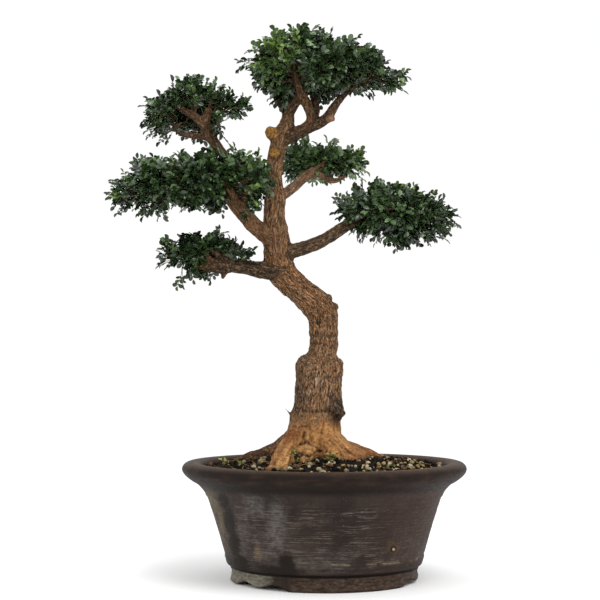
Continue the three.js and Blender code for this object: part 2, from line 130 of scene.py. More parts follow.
class Finish:
    """A surface finish that is built up from coordinates, noise and colours to one shader"""

    def __init__(self, name, **constants):
        self.material = bpy.data.materials.new(name)
        self.material.use_nodes = True
        self.nodes = self.material.node_tree.nodes
        self.shader = self.nodes["Principled BSDF"]
        for socket, value in constants.items():
            self.shader.inputs[socket.replace("_", " ")].default_value = value

    def add(self, kind, inputs, output=0, **settings):
        node = self.nodes.new("ShaderNode" + kind)
        for key, value in settings.items():
            setattr(node, key, value)
        for key, value in inputs.items():
            self.join(node.inputs[key], value)
        return node.outputs[output]

    def join(self, socket, value):
        if isinstance(value, bpy.types.NodeSocket):
            self.material.node_tree.links.new(value, socket)
        else:
            socket.default_value = value

    def vector(self, operation, first, second):
        return self.add("VectorMath", {0: first, 1: second}, operation=operation)

    def read(self, name, output):
        """What the mesh says of itself at each point"""
        return self.add("Attribute", {}, output, attribute_name=name)

    def where(self, x=1, y=1, z=1, name=None):
        """Places on the object in metres, or one of its own attributes, each axis multiplied"""
        if name:
            source = self.read(name, "Vector")
        else:
            source = self.add("TexCoord", {}, "Object")
        return self.vector("MULTIPLY", source, (x, y, z))

    def axis(self, source, letter):
        return self.add("SeparateXYZ", {0: source}, letter)

    def clouds(self, where, scale, detail=4.0, roughness=0.55):
        inputs = {"Vector": where, "Scale": scale, "Detail": detail, "Roughness": roughness}
        return self.add("TexNoise", inputs)

    def cells(self, where, scale, feature="F1"):
        return self.add("TexVoronoi", {"Vector": where, "Scale": scale}, "Distance", feature=feature)

    def span(self, value, start, end, low=0.0, high=1.0):
        """Low before start, high after end, and a soft passage between"""
        inputs = {0: value, 1: start, 2: end, 3: low, 4: high}
        return self.add("MapRange", inputs, interpolation_type="SMOOTHSTEP")

    def calc(self, operation, *values):
        return self.add("Math", dict(enumerate(values)), operation=operation)

    def mix(self, amount, first, second, how="MIX"):
        """Two colours mixed, each worked out by the shader or given as the eye names it"""
        first, second = (paint(*c) if isinstance(c, tuple) else c for c in (first, second))
        return self.add("Mix", {0: amount, 6: first, 7: second}, 2, data_type="RGBA", blend_type=how)

    def coat(self, amount, shade, how="MIX"):
        """Lays one more colour over the tone built up so far"""
        self.tone = self.mix(amount, self.tone, shade, how)

    def spot(self, centre, reach, ragged=0.35, grain=95.0, soft=0.4):
        """A ragged patch round a place, both in millimetres: 1 inside, 0 outside"""
        centre = tuple(c / 1000 for c in centre)
        away = self.vector("SUBTRACT", self.where(), centre)
        away = self.vector("MULTIPLY", away, tuple(1000 / r for r in reach))
        distance = self.add("VectorMath", {0: away}, "Value", operation="LENGTH")
        noise = self.clouds(self.where(), grain, 5.0)
        edge = self.calc("MULTIPLY_ADD", self.calc("SUBTRACT", noise, 0.5), 5 * ragged, distance)
        return self.span(edge, 0.9 - soft, 0.9 + soft, 1.0, 0.0)

    def each(self, operation, values):
        """One kind of sum carried through several values"""
        total = values[0]
        for value in values[1:]:
            total = self.calc(operation, total, value)
        return total

    def times(self, *values):
        return self.each("MULTIPLY", values)

    def most(self, *values):
        return self.each("MAXIMUM", values)

    def emboss(self, height, strength, distance):
        """Fine relief in the shader, distance in millimetres, on top of what the mesh has"""
        inputs = {"Height": height, "Strength": strength, "Distance": distance / 1000}
        before = self.shader.inputs["Normal"]
        if before.is_linked:
            inputs["Normal"] = before.links[0].from_socket
        self.join(before, self.add("Bump", inputs))

    def colour(self, value):
        self.join(self.shader.inputs["Base Color"], value)

    def roughness(self, value):
        self.join(self.shader.inputs["Roughness"], value)


def share(amount):
    """The amount, kept from 0 to 1"""
    return np.clip(amount, 0, 1)


def foot_gap(sideways):
    """Height of the gap between two feet: two low arches with a lobe hanging between them"""
    away = np.abs(sideways)
    rise = share((GAP_HALF - away) / ARCH_HALF)
    hang = share(away / ARCH_HALF)
    outer = ARCH_HIGH * rise * rise * (3 - 2 * rise)
    inner = LOBE_LOW + LOBE_RISE * hang * hang * (3 - 2 * hang)
    return np.where(away > ARCH_HALF, outer, inner)


def rounded(outline, step):
    """The outline with points added along it, its curves kept round"""
    outline = np.array(outline, float)
    points = []
    for i, start in enumerate(outline):
        end = outline[(i + 1) % len(outline)]
        before, after = outline[i - 1], outline[(i + 2) % len(outline)]
        length = np.linalg.norm(end - start)
        bend = 0.5 if length < 14 else 0.0
        for t in np.linspace(0, 1, max(1, round(length / step)), endpoint=False):
            smooth = 0.5 * (2 * start + (end - before) * t
                            + (2 * before - 5 * start + 4 * end - after) * t ** 2
                            + (3 * start - before - 3 * end + after) * t ** 3)
            straight = start + (end - start) * t
            points.append(straight + 2 * bend * (smooth - straight))
    return np.array(points)


turns = np.linspace(0, 2 * math.pi, 336, endpoint=False)
outline = rounded(POT_OUTLINE, step=2.6)
radius, height = (outline[:, k][:, None] + 0 * turns for k in (0, 1))
lift = np.zeros_like(radius)
for gap in FOOT_GAPS:
    turned = (turns - gap + math.pi) % (2 * math.pi) - math.pi
    sideways = radius * np.sin(turned)
    lift += np.where(np.abs(turned) < 1, foot_gap(sideways), 0) * share(1 - height / 12)
lift *= radius > 96.5
clay = np.stack([radius * np.cos(turns), radius * np.sin(turns), height + lift], -1).reshape(-1, 3)
outside = np.repeat((outline[:, 0] > 100) & (outline[:, 1] > 3), len(turns))
hand = 0.5 * lumps(clay, 60, 1) + 0.22 * lumps(clay, 9, 2, (1.6, 1.6, 0.5)) + 0.14 * lumps(clay, 3.2, 3)
pit = np.linalg.norm(clay - np.array(CHIP), axis=1)
hand -= 2.2 * share(1.3 - pit / 3.0)
hand -= WALL_INSET * ((clay[:, 2] > 30) & (clay[:, 2] < 100))
flat = np.stack([np.cos(turns), np.sin(turns)], -1)
flat = np.tile(flat, (len(outline), 1))
clay[:, :2] += flat * ((hand - 0.25) * outside)[:, None]
clay[:, 2] -= 1.8 * flat[:, 1] ** 2 * share((clay[:, 2] - 120) / 15) * (flat[:, 1] < 0)
clay[:, 0] += POT_X
pot = shaped("pot_body", clay, ringed(len(outline), len(turns), loop=True))
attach(pot, "root")
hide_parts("pot")

ware = Finish("weathered_stoneware", Specular_IOR_Level=0.1)
place = ware.where()
across, high = ware.axis(place, "X"), ware.axis(place, "Z")
broad = ware.clouds(place, 22, 5.0)
fine = ware.clouds(place, 260, 6.0, 0.65)
ware.tone = ware.mix(ware.span(broad, 0.35, 0.68), (39, 31, 28), (58, 47, 42))
# Painted light: the right of the pot made warmer and lighter, as if lit from that side
ware.coat(ware.times(ware.span(across, 0.07, 0.17), 0.6), (66, 47, 37))
brushed = ware.clouds(ware.where(26, 26, 820), 1.0, 8.0, 0.8)
streaks = ware.span(brushed, 0.52, 0.6)
patchy = ware.clouds(ware.where(1, 1, 2), 42, 6.0, 0.65)
wall = ware.times(ware.span(high, 0.019, 0.026), ware.span(high, 0.092, 0.104, 1.0, 0.0))
on_wall = ware.times(streaks, wall, ware.span(patchy, 0.38, 0.56), ware.span(across, 0.09, 0.13, 1.0, 0.3))
ware.coat(ware.times(on_wall, 0.85), (120, 108, 99))
# Lime from the watering, thickest on the left, wiped sideways and crackled
lime = ware.most(
    ware.spot((-34, -110, 97), (13, 30, 15), 0.45, soft=0.9),
    ware.spot((-8, -122, 72), (13, 30, 32), 0.3, soft=0.7),
    ware.times(ware.spot((-22, -112, 46), (36, 34, 24), 0.5, soft=1.0), 0.55),
    ware.times(ware.spot((-46, -92, 62), (13, 30, 36), 0.4, soft=0.8), 0.45),
    ware.times(ware.spot((28, -120, 33), (38, 30, 10), 0.6, soft=1.0), 0.8),
    ware.times(ware.spot((64, -122, 44), (26, 30, 12), 0.8, soft=1.0), 0.45),
    ware.times(ware.spot((145, -80, 52), (18, 40, 20), 0.5, soft=1.0), 0.3))
crackle = ware.span(ware.clouds(ware.where(1, 1, 1.6), 230, 7.0, 0.75), 0.44, 0.6)
wiped = ware.span(ware.clouds(ware.where(34, 34, 560), 1.0, 7.0, 0.75), 0.36, 0.62)
haze = ware.times(lime, ware.most(ware.times(wiped, 0.62), ware.times(crackle, 0.7)),
                  ware.span(across, 0.0, 0.002, 1.0, 0.6))
ware.coat(haze, (118, 113, 108))
flecks = ware.span(ware.clouds(place, 420, 3.0), 0.66, 0.73)
ware.coat(ware.times(flecks, 0.4), (134, 126, 116))
ochre = ware.times(ware.spot((-29, -96, 44), (4.5, 20, 9), 0.5, 90.0, soft=0.8), 0.45)
ware.coat(ochre, (132, 110, 82))
mossy = ware.spot((-80, -48, 72), (17, 30, 44), 0.6, soft=0.9)
ware.coat(ware.times(mossy, ware.span(patchy, 0.36, 0.56, 0.1, 0.9)), (104, 90, 66))
# Dark runs below the lip and on the foot band
runs = ware.most(
    ware.spot((-70, -84, 98), (9, 24, 13), 0.25), ware.spot((-63, -76, 74), (10, 24, 24), 0.2),
    ware.spot((-57, -68, 48), (9, 22, 22), 0.2), ware.spot((-50, -66, 27), (13, 22, 13), 0.3),
    ware.spot((4, -115, 34), (11, 30, 11), 0.25), ware.spot((-10, -112, 24), (30, 30, 6), 0.35),
    ware.spot((6, -109, 10), (9, 30, 14), 0.3))
ware.coat(ware.times(runs, 0.95), (24, 19, 14))
skirt = ware.times(ware.span(high, 0.026, 0.030, 1.0, 0.0), ware.span(patchy, 0.3, 0.5, 0.9, 0.35))
ware.coat(skirt, (36, 28, 23))
salt = ware.times(ware.span(high, 0.0285, 0.0315), ware.span(high, 0.0315, 0.04, 1.0, 0.0),
                  ware.span(ware.clouds(ware.where(18, 18, 500), 1.0, 7.0, 0.75), 0.45, 0.62),
                  ware.span(across, 0.018, 0.04), ware.span(patchy, 0.44, 0.56))
ware.coat(ware.times(salt, 0.75), (142, 130, 108))
# The foot band: crusted, and chalky on the left
foot = ware.span(high, 0.0165, 0.0185, 1.0, 0.0)
scale = ware.clouds(ware.where(1, 1, 2.6), 130, 7.0, 0.75)
crust = ware.mix(ware.span(scale, 0.36, 0.56), (36, 27, 22), (72, 57, 46))
crust = ware.mix(ware.span(scale, 0.57, 0.68, 0.0, 0.6), crust, (124, 112, 94))
chalky = ware.mix(ware.span(scale, 0.38, 0.6), (84, 80, 68), (132, 126, 112))
crust = ware.mix(ware.span(across, 0.004, -0.03), crust, chalky)
crust = ware.mix(ware.times(ware.spot((-4, -108, 8), (16, 30, 14), 0.35), 0.85), crust, (40, 31, 25))
ware.coat(foot, crust)
# The chip: a stain, a dark hollow and a pale core
ware.coat(ware.times(ware.spot((124, -98, 49), (9, 12, 9), 0.5, 200.0), 0.4), (96, 78, 52))
ware.coat(ware.spot((124.1, -97.7, 47.6), (4.2, 9, 4.2), 0.12, 200.0), (18, 13, 9))
ware.coat(ware.spot((124.5, -97.7, 47.2), (1.7, 9, 1.9), 0.1, 200.0), (178, 152, 116))
# Painted shade: the groove above the foot band darkened almost to black
groove = ware.times(ware.span(high, 0.0158, 0.0172), ware.span(high, 0.0192, 0.022, 1.0, 0.0))
ware.coat(ware.times(groove, 0.9), (24, 18, 14))
# The rolled lip: near black, browner where hands have worn it, with painted shade under it and a painted
# highlight along its top
rim = ware.span(high, 0.107, 0.117)
worn = ware.clouds(ware.where(1, 1, 4), 40, 5.0)
rolled = ware.mix(ware.span(worn, 0.4, 0.7), (20, 13, 9), (48, 32, 22))
# Painted shade on the lip's underside, then a painted highlight along its top
rolled = ware.mix(ware.span(high, 0.118, 0.126, 0.8, 0.0), rolled, (22, 16, 13))
rolled = ware.mix(ware.times(ware.span(high, 0.134, 0.1395), 0.7), rolled, (80, 62, 46))
ware.coat(ware.times(rim, 0.9), rolled)
ware.coat(ware.span(fine, 0.3, 0.7, 0.0, 0.3), (36, 29, 26))
scratched = ware.times(ware.span(ware.clouds(ware.where(22, 22, 640), 1.0, 6.0, 0.75), 0.5, 0.38), wall)
ware.coat(ware.times(scratched, 0.45), (30, 22, 20))
ware.colour(ware.tone)
ware.roughness(ware.calc("ADD", ware.span(fine, 0.3, 0.7, 0.5, 0.66), ware.times(haze, 0.2)))
ware.emboss(brushed, 0.5, 0.5)
ware.emboss(fine, 0.5, 0.35)
pot.data.materials.append(ware.material)


# Drain screen: a square of black plastic mesh that keeps the soil in over the drain hole.
# It lies flat on the pot's floor, and its solid already has the shape.
plastic = Finish("drain_mesh_plastic", Roughness=0.55, Specular_IOR_Level=0.4)
dust = plastic.clouds(plastic.where(), 180, 5.0)
plastic.colour(plastic.mix(plastic.span(dust, 0.45, 0.75), (28, 30, 30), (84, 76, 66)))
plastic.emboss(dust, 0.4, 0.3)
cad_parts["drain_screen"].data.materials.clear()
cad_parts["drain_screen"].data.materials.append(plastic.material)


# Drainage layer: coarse grit, poured on the pot's floor before the soil so that water runs off.
# Its solid already has the shape, and only its underside shows, through the screen.
gritty = Finish("coarse_grit", Roughness=0.9)
pebbles = gritty.cells(gritty.where(), 190)
gritty.colour(gritty.mix(gritty.clouds(gritty.where(), 95, 3.0), (96, 84, 70), (170, 158, 138)))
gritty.emboss(gritty.span(pebbles, 0.0, 0.6, 1.0, 0.0), 1.0, 2.5)
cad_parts["drainage_layer"].data.materials.clear()
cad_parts["drainage_layer"].data.materials.append(gritty.material)


# Soil: a low mound of dark, damp bonsai soil, pressed in by hand and a little lower along the lip.
# It is a closed lump down to the drainage layer; the roots stand in it.
def ground(x, y):
    """The mound's height at places seen from above"""
    flat = np.stack([x, y, 0 * x], -1)
    away = np.hypot(x - POT_X, y)
    mound = np.interp(away, [0, 60, 104, 134, 146], [149.5, 144.5, 138.5, 134.6, 133.2])
    return mound + 1.3 * lumps(flat, 21, 11) + 0.9 * lumps(flat, 7, 12) + 0.5 * lumps(flat, 3, 13)


SURFACE_RINGS = 84
# The mound's side and underside: distance from the pot's axis, and height
SOIL_BELOW = np.array([
    (141.6, 128), (134, 104), (125, 76), (119, 58), (113.4, 40.5), (60, 40.5), (0.4, 40.5),
])
rings = np.append(np.linspace(0.4, 143.2, SURFACE_RINGS), SOIL_BELOW[:, 0])
spokes = np.linspace(0, 2 * math.pi, 270, endpoint=False)
away = rings[:, None] + 0 * spokes
x, y = POT_X + away * np.cos(spokes), away * np.sin(spokes)
z = ground(x.ravel(), y.ravel()).reshape(x.shape)
z[SURFACE_RINGS:] = SOIL_BELOW[:, 1:]
earth = np.stack([x, y, z], -1).reshape(-1, 3)
faces = [face[::-1] for face in ringed(len(rings), len(spokes))]
soil = shaped("soil_mound", earth, faces)
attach(soil, "root")
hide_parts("soil")

damp = Finish("damp_bonsai_soil", Roughness=0.92, Specular_IOR_Level=0.1)
crumb = damp.clouds(damp.where(), 420, 5.0, 0.7)
damp.tone = damp.mix(damp.span(crumb, 0.35, 0.65), (8, 6, 4), (32, 24, 17))
damp.coat(damp.span(damp.clouds(damp.where(), 60, 4.0), 0.55, 0.75, 0.0, 0.5), (44, 46, 26))
damp.colour(damp.tone)
damp.emboss(crumb, 1.0, 1.2)
damp.emboss(damp.cells(damp.where(), 300), 0.7, 1.0)
soil.data.materials.append(damp.material)


# Loose grit: pale pumice, dark lava and brown clay grains, sieved to a few millimetres and strewn
# over the soil. The pale grains lie thickest in front on the right.
rng = np.random.default_rng(5)


def ball(level):
    """Corners and triangles of a round stone before it is knocked out of shape"""
    bm = bmesh.new()
    bmesh.ops.create_icosphere(bm, subdivisions=level, radius=1)
    corners = np.array([v.co[:] for v in bm.verts])
    triangles = np.array([[v.index for v in f.verts] for f in bm.faces])
    bm.free()
    return corners, triangles


stone, stone_faces = ball(2)
small, small_faces = ball(1)


def strewn(corners, triangles, places, sizes, salt):
    """Many knocked-about copies of one stone, each turned its own way: points and faces"""
    points = []
    for i, (place, size) in enumerate(zip(places, sizes)):
        turn = np.linalg.qr(rng.normal(size=(3, 3)))[0]
        knocked = corners * (1 + 0.16 * lumps(corners + 7.3 * i, 0.9, salt))[:, None]
        for chip in rng.normal(size=(7, 3)):
            chip /= np.linalg.norm(chip)
            over = np.clip(knocked @ chip - rng.uniform(0.5, 0.85), 0, None)
            knocked -= over[:, None] * chip
        points.append((knocked * rng.uniform(0.62, 1.15, 3)) @ turn * size + place)
    count = len(corners)
    faces = (triangles[None] + count * np.arange(len(points))[:, None, None]).reshape(-1, 3)
    return np.concatenate(points), faces.tolist()


def scatter(count, bias=0.0):
    """Places on the soil, clear of the trunk, more of them front right as bias grows"""
    found = []
    while len(found) < count:
        turn, away = rng.uniform(-math.pi, math.pi), 141 * math.sqrt(rng.uniform(0.02, 1))
        x, y = POT_X + away * math.cos(turn), away * math.sin(turn)
        near_trunk = math.hypot(x - 38, y) < 40 + 8 * math.cos(5 * turn)
        here = 0.5 + 0.5 * math.sin(turn + 2.5)
        if not near_trunk and rng.uniform() < 1 - bias * (1 - here):
            found.append((x, y))
    return np.array(found)


def written(thing, name, values):
    """Gives each point of a mesh its own number or vector, for its finish to read"""
    kind, key = ("FLOAT", "value") if values.ndim == 1 else ("FLOAT_VECTOR", "vector")
    thing.data.attributes.new(name, kind, "POINT").data.foreach_set(key, values.ravel())


def grit_piece(name, corners, triangles, spots, sizes, salt):
    """One mesh of loose grains that lie on the soil, three tenths of their size above its surface"""
    heights = ground(spots[:, 0], spots[:, 1])
    places = np.column_stack([spots, heights + 0.3 * sizes])
    points, faces = strewn(corners, triangles, places, sizes, salt)
    grains = shaped(name, points, faces)
    grains.data.shade_flat()
    written(grains, "tone", np.repeat(rng.uniform(0, 1, len(spots)), len(corners)))
    return grains


spots = scatter(230, bias=0.93)
sizes = rng.uniform(1.5, 4.0, len(spots))
pale_grit = grit_piece("pale_grit", stone, stone_faces, spots, sizes, 21)
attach(pale_grit, "root")
pumice = Finish("pumice_and_clay_grains", Roughness=0.9, Specular_IOR_Level=0.3)
tone = pumice.read("tone", "Fac")
pumice.tone = pumice.mix(pumice.span(tone, 0.25, 0.4), (110, 78, 48), (140, 126, 96))
pumice.coat(pumice.span(tone, 0.6, 0.75), (186, 174, 140))
pumice.coat(pumice.span(tone, 0.9, 0.95), (150, 130, 76))
worn = pumice.clouds(pumice.where(), 700, 4.0)
pumice.coat(pumice.span(worn, 0.45, 0.7, 0.0, 0.6), (96, 78, 58))
pumice.colour(pumice.tone)
pumice.emboss(worn, 0.8, 0.5)
pale_grit.data.materials.append(pumice.material)

spots = scatter(1500)
sizes = rng.uniform(1.0, 3.2, len(spots))
dark_grit = grit_piece("dark_grit", small, small_faces, spots, sizes, 22)
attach(dark_grit, "root")
lava = Finish("lava_and_peat_crumbs", Roughness=0.9, Specular_IOR_Level=0.1)
tone = lava.read("tone", "Fac")
lava.tone = lava.mix(lava.span(tone, 0.3, 0.7), (8, 6, 5), (32, 23, 16))
lava.coat(lava.span(tone, 0.9, 0.97), (88, 66, 44))
worn = lava.clouds(lava.where(), 800, 4.0)
lava.coat(lava.span(worn, 0.52, 0.76, 0.0, 0.28), (76, 66, 52))
lava.colour(lava.tone)
lava.emboss(worn, 1.0, 0.6)
dark_grit.data.materials.append(lava.material)


# Litter: fine root ends, dry stalks and bits of bark that lie about on the soil, most of them on the
# left. Each is a thin bent strand.
rng = np.random.default_rng(9)


def smooth_run(rows, step):
    """A limb drawn smoothly through its rows, as evenly spaced rows of x, y, z and radius"""
    rows = np.array(rows, float)
    ticks = np.concatenate([[0], np.cumsum(np.sqrt(np.linalg.norm(np.diff(rows[:, :3], axis=0), axis=1)))])
    slopes = np.diff(rows, axis=0) / np.diff(ticks)[:, None]
    gaps = np.diff(ticks)[:, None]
    inner = (slopes[:-1] * gaps[1:] + slopes[1:] * gaps[:-1]) / (gaps[:-1] + gaps[1:])
    tangents = np.concatenate([slopes[:1], inner, slopes[-1:]])
    count = max(3, round(np.linalg.norm(np.diff(rows[:, :3], axis=0), axis=1).sum() / step))
    at = np.linspace(0, ticks[-1], count)
    i = np.clip(np.searchsorted(ticks, at, side="right") - 1, 0, len(gaps) - 1)
    t, gap = ((at - ticks[i])[:, None] / gaps[i]), gaps[i]
    return ((2 * t ** 3 - 3 * t ** 2 + 1) * rows[i] + (t ** 3 - 2 * t ** 2 + t) * gap * tangents[i]
            + (3 * t ** 2 - 2 * t ** 3) * rows[i + 1] + (t ** 3 - t ** 2) * gap * tangents[i + 1])


def frames_along(run):
    """Direction, a sideways and a second sideways vector at each row, turning as little as they can"""
    ahead = np.gradient(run[:, :3], axis=0)
    ahead /= np.linalg.norm(ahead, axis=1)[:, None]
    side = np.array([0, -1, 0.01])
    sides = []
    for direction in ahead:
        side = side - direction * side.dot(direction)
        side /= np.linalg.norm(side)
        sides.append(side)
    sides = np.array(sides)
    return ahead, sides, np.cross(ahead, sides)


def tube(run, sides, lobes=0.0):
    """A closed tube round a run, ribbed lengthwise by its lobes: points and faces"""
    ahead, side, other = frames_along(run)
    turn = np.linspace(0, 2 * math.pi, sides, endpoint=False)
    along = np.arange(len(run))[:, None]
    ripple = np.sin(3 * turn + 0.09 * along) + 0.7 * np.sin(5 * turn - 0.07 * along)
    reach = run[:, 3:] * (1 + lobes * ripple)
    ring = run[:, None, :3] + reach[..., None] * (
        np.cos(turn)[None, :, None] * side[:, None] + np.sin(turn)[None, :, None] * other[:, None])
    return ring.reshape(-1, 3), ringed(len(run), sides)


def together(parts):
    """Several lists of points and faces as one"""
    points, faces, start = [], [], 0
    for part_points, part_faces in parts:
        points.append(part_points)
        faces += [tuple(start + k for k in face) for face in part_faces]
        start += len(part_points)
    return np.concatenate(points), faces


strands = []
while len(strands) < 150:
    turn, away = rng.uniform(-math.pi, math.pi), rng.uniform(46, 138)
    start = np.array([POT_X + away * math.cos(turn), away * math.sin(turn)])
    if rng.uniform() < 0.6 * (start[0] > 30):
        continue
    heading, line = rng.uniform(0, 2 * math.pi), [start]
    for _ in range(3):
        heading += rng.normal(0, 0.5)
        line.append(line[-1] + rng.uniform(2.5, 6.5) * np.array([math.cos(heading), math.sin(heading)]))
    line = np.array(line)
    if (np.hypot(line[:, 0] - POT_X, line[:, 1]) > 140).any():
        continue
    heights = ground(line[:, 0], line[:, 1]) + 1.0 + np.abs(rng.normal(0, 1.2, 4))
    strands.append(tube(smooth_run(np.column_stack([line, heights, (0.45, 0.55, 0.5, 0.3)]), 2), 5))
litter = shaped("soil_litter", *together(strands))
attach(litter, "root")
dry = Finish("dry_root_ends", Roughness=0.85, Specular_IOR_Level=0.25)
bits = dry.clouds(dry.where(), 60, 4.0)
shade = dry.mix(dry.span(bits, 0.4, 0.6), (48, 36, 24), (122, 96, 62))
dry.colour(dry.mix(dry.span(bits, 0.62, 0.7), shade, (78, 84, 40)))
dry.emboss(dry.clouds(dry.where(), 900, 3.0), 0.8, 0.3)
litter.data.materials.append(dry.material)


# Trunk, branches and surface roots: one living piece of wood. The stump was cut through long ago and
# a new leader drawn up from it; brown bark in small plates ends above smooth, ochre roots.
STUMP = [
    (34, 0, 112, 28), (34, 0, 132, 34), (34, 0, 150, 36), (35, 0, 172, 33), (37, 0, 190, 30.5),
    (40, 0, 212, 28.5), (41.5, 0, 238, 27.8), (42.5, 0, 258, 27.3), (43.5, 0, 264.5, 20.5),
]
LEADER = [
    (43, 0, 240, 17), (46, 0, 270, 17.2), (46.5, 0, 290, 17.4), (46, 1, 312, 17.9), (40.4, 2, 324.4, 18.2),
    (23.5, 4, 340, 16.9), (8.5, 6, 354, 16.8), (-4, 6, 369, 18), (-8, 4, 388, 17.6), (-9.4, 2, 407, 15.6),
    (-12, 0, 432, 12.9), (-11.6, -2, 458, 12.2), (-13, -3, 485, 10.3), (-11, -3, 505, 10),
    (-8, -2, 520, 10.5), (-3, -1, 533, 10.3), (3, 0, 546, 9.5), (4, 0, 560, 7.2), (0, 2, 575, 6),
    (-8, 4, 592, 4.5),
]
BRANCHES = {
    "foliage_lower_left": [
        [(-4, 0, 370, 12.5), (-20, -3, 368, 10.8), (-31, -4, 369.6, 10.2), (-50, -8, 372.6, 8.9),
         (-66, -10, 373.2, 8.4), (-78, -12, 373.5, 9), (-90, -14, 374.5, 8.2), (-103, -16, 379, 5.4),
         (-114, -17, 384, 3.4)],
        [(-84, -14, 376, 5.5), (-97, -20, 372, 4.2), (-108, -24, 372, 2.8)],
        [(-64, -8, 378, 5), (-84, 8, 386, 3.6), (-100, 18, 390, 2.5)],
        [(-70, -11, 380, 5), (-86, -24, 392, 3.5), (-98, -32, 400, 2.5)],
    ],
    "foliage_middle_left": [
        [(-6, 2, 398, 11), (-21, -6, 409.5, 10), (-36.5, -14, 422, 9.8), (-49.5, -22, 437, 9.6),
         (-63, -30, 452, 9), (-82, -38, 464, 5.8), (-108, -44, 472, 4.6), (-136, -46, 473, 3.2),
         (-152, -45, 471, 2.6)],
        [(-62, -30, 452, 6), (-74, -10, 464, 4.6), (-90, 8, 472, 3.2), (-110, 20, 474, 2.2)],
        [(-82, -38, 464, 5), (-96, -58, 468, 3.6), (-108, -68, 468, 3)],
        [(-56, -27, 446, 6), (-62, -52, 458, 4.4), (-72, -72, 468, 3)],
        [(-50, -24, 440, 5.5), (-42, -44, 458, 4), (-34, -56, 472, 2.8)],
    ],
    "foliage_right": [
        [(-6, 2, 384, 10.5), (8, -2, 391, 9), (22, -5, 394.6, 8.7), (38, -8, 400.3, 8.2),
         (56, -10, 409.8, 7.7), (72, -12, 420.3, 6.9), (92, -14, 430, 5.2), (118, -14, 436, 4),
         (146, -12, 438, 3), (168, -10, 438, 2.2)],
        [(78, -13, 426, 5), (94, -28, 433, 3.8), (106, -36, 437, 2.8)],
        [(74, -12, 425, 5), (88, 8, 436, 3.8), (104, 26, 444, 2.8), (124, 36, 446, 2)],
        [(118, -14, 436, 3.6), (138, -34, 442, 2.6), (152, -46, 444, 2)],
    ],
    "foliage_back": [
        [(-12, 0, 452, 9), (-2, 8, 461, 7.5), (10, 16, 470, 6.8), (22, 24, 482, 6.4), (34, 30, 492, 6.6)],
        [(34, 30, 492, 5.5), (46, 34, 500, 4), (52, 38, 512, 2.8)],
        [(34, 30, 490, 5.5), (46, 34, 486, 5), (60, 36, 481, 4), (76, 42, 488, 2.8)],
        [(30, 28, 488, 4.5), (28, 52, 498, 3.4), (24, 74, 506, 2.4)],
    ],
    "foliage_upper_left": [
        [(-12, 0, 466, 8), (-24, 10, 481, 6.8), (-40, 18, 494, 6.4), (-58, 22, 502, 6.4),
         (-73, 23, 510, 6.6), (-86, 21, 526, 6.9), (-94, 18, 540, 6.9), (-99, 15, 549, 6.4)],
        [(-98, 15, 546, 6), (-95, 12, 556, 5.4), (-91.5, 9, 565, 5), (-91, 8, 567, 4)],
        [(-98, 15, 546, 6.2), (-108, 12, 556, 5.6), (-120, 10, 563, 4.8), (-131, 9, 568, 3.2)],
        [(-90, 20, 531, 5), (-106, 20, 534, 4.4), (-120, 18, 534.5, 3.4), (-134, 14, 539, 2.2)],
        [(-86, 22, 534, 4), (-80, 20, 545, 2.4)],
        [(-90, 24, 540, 4), (-94, 44, 554, 3), (-98, 58, 562, 2)],
        [(-82, 22, 518, 6), (-93, 20, 517, 3.4), (-99, 19, 520, 1.8)],
    ],
    "foliage_top": [
        [(-4, 0, 524, 9), (6, -4, 530, 8.6), (20, -8, 535, 8.4), (30, -10, 541, 7.8)],
        [(29, -10, 538, 6.4), (32, -12, 552, 6.3), (27, -14, 566, 6.4), (20, -16, 580, 5.6),
         (15, -16, 596, 4.2), (10, -14, 614, 3)],
        [(28, -10, 538, 6.6), (42, -8, 545, 6.6), (53.5, -6, 555, 6.2), (62, -4, 569, 5.4),
         (74, 0, 583, 4.2), (90, 4, 596, 2.6)],
        [(2, 0, 560, 5.5), (-11, -8, 578, 4.2), (-18, -13, 597, 3)],
        [(3, 1, 564, 5), (6, 22, 582, 4), (10, 42, 596, 2.8)],
        [(3, 0, 556, 7.4), (8, -4, 564, 7.5), (15, -9, 573, 6.7), (19, -14, 579, 5.8)],
        [(34, -4, 548, 6.2), (37, 4, 562, 6), (36, 8, 576, 5), (30, 12, 592, 3)],
    ],
}
ROOTS = [
    [(26, -6, 182, 17), (9, -32, 158, 15), (0, -58, 146, 14), (-4, -84, 136, 13.5), (-9, -104, 125, 11),
     (-11, -113, 114, 6)],
    [(24, 4, 176, 15), (2, 12, 157, 14), (-22, 22, 145, 11), (-48, 30, 138, 9), (-72, 36, 124, 5)],
    [(42, 0, 176, 16), (64, 0, 154, 16), (84, 2, 148, 13), (104, 4, 142, 11), (124, 6, 134, 8),
     (138, 8, 122, 5)],
    [(42, -8, 172, 15), (60, -24, 152, 14), (80, -36, 140, 11), (98, -44, 126, 6)],
    [(34, -14, 168, 14), (29, -36, 150, 11), (26, -52, 140, 9), (24, -64, 126, 5)],
    [(36, 12, 174, 15), (40, 38, 152, 13), (46, 60, 140, 10), (53, 84, 124, 5)],
    [(48, 10, 174, 14), (72, 32, 150, 12), (94, 48, 130, 7)],
]
# Cut stubs of old branches, and in the fifth and the last row the burl on the stump's right
STUBS = [
    [(-8, -2, 528, 6), (-17, -6, 532, 6.4), (-20, -8, 534, 4.6)],
    [(-11, -2, 509, 5.4), (-12, -12.5, 509, 5.2), (-12, -13.6, 509, 3.4)],
    [(44, 0, 328, 7), (53, -2, 335.5, 5.4), (57, -2, 338, 3.4)],
    [(44, 0, 320, 7), (60, 1, 325, 5.4), (65, 1, 326, 3.6)],
    [(52, 0, 212, 12), (64, -2, 208, 10), (69, -2, 206, 6)],
    [(50, -8, 551, 5), (57, -12, 550, 4.6), (61, -13, 549, 3)],
    [(54, -10, 210, 9), (61, -16, 203, 10), (64, -17, 196, 8), (64, -16, 190, 4)],
]
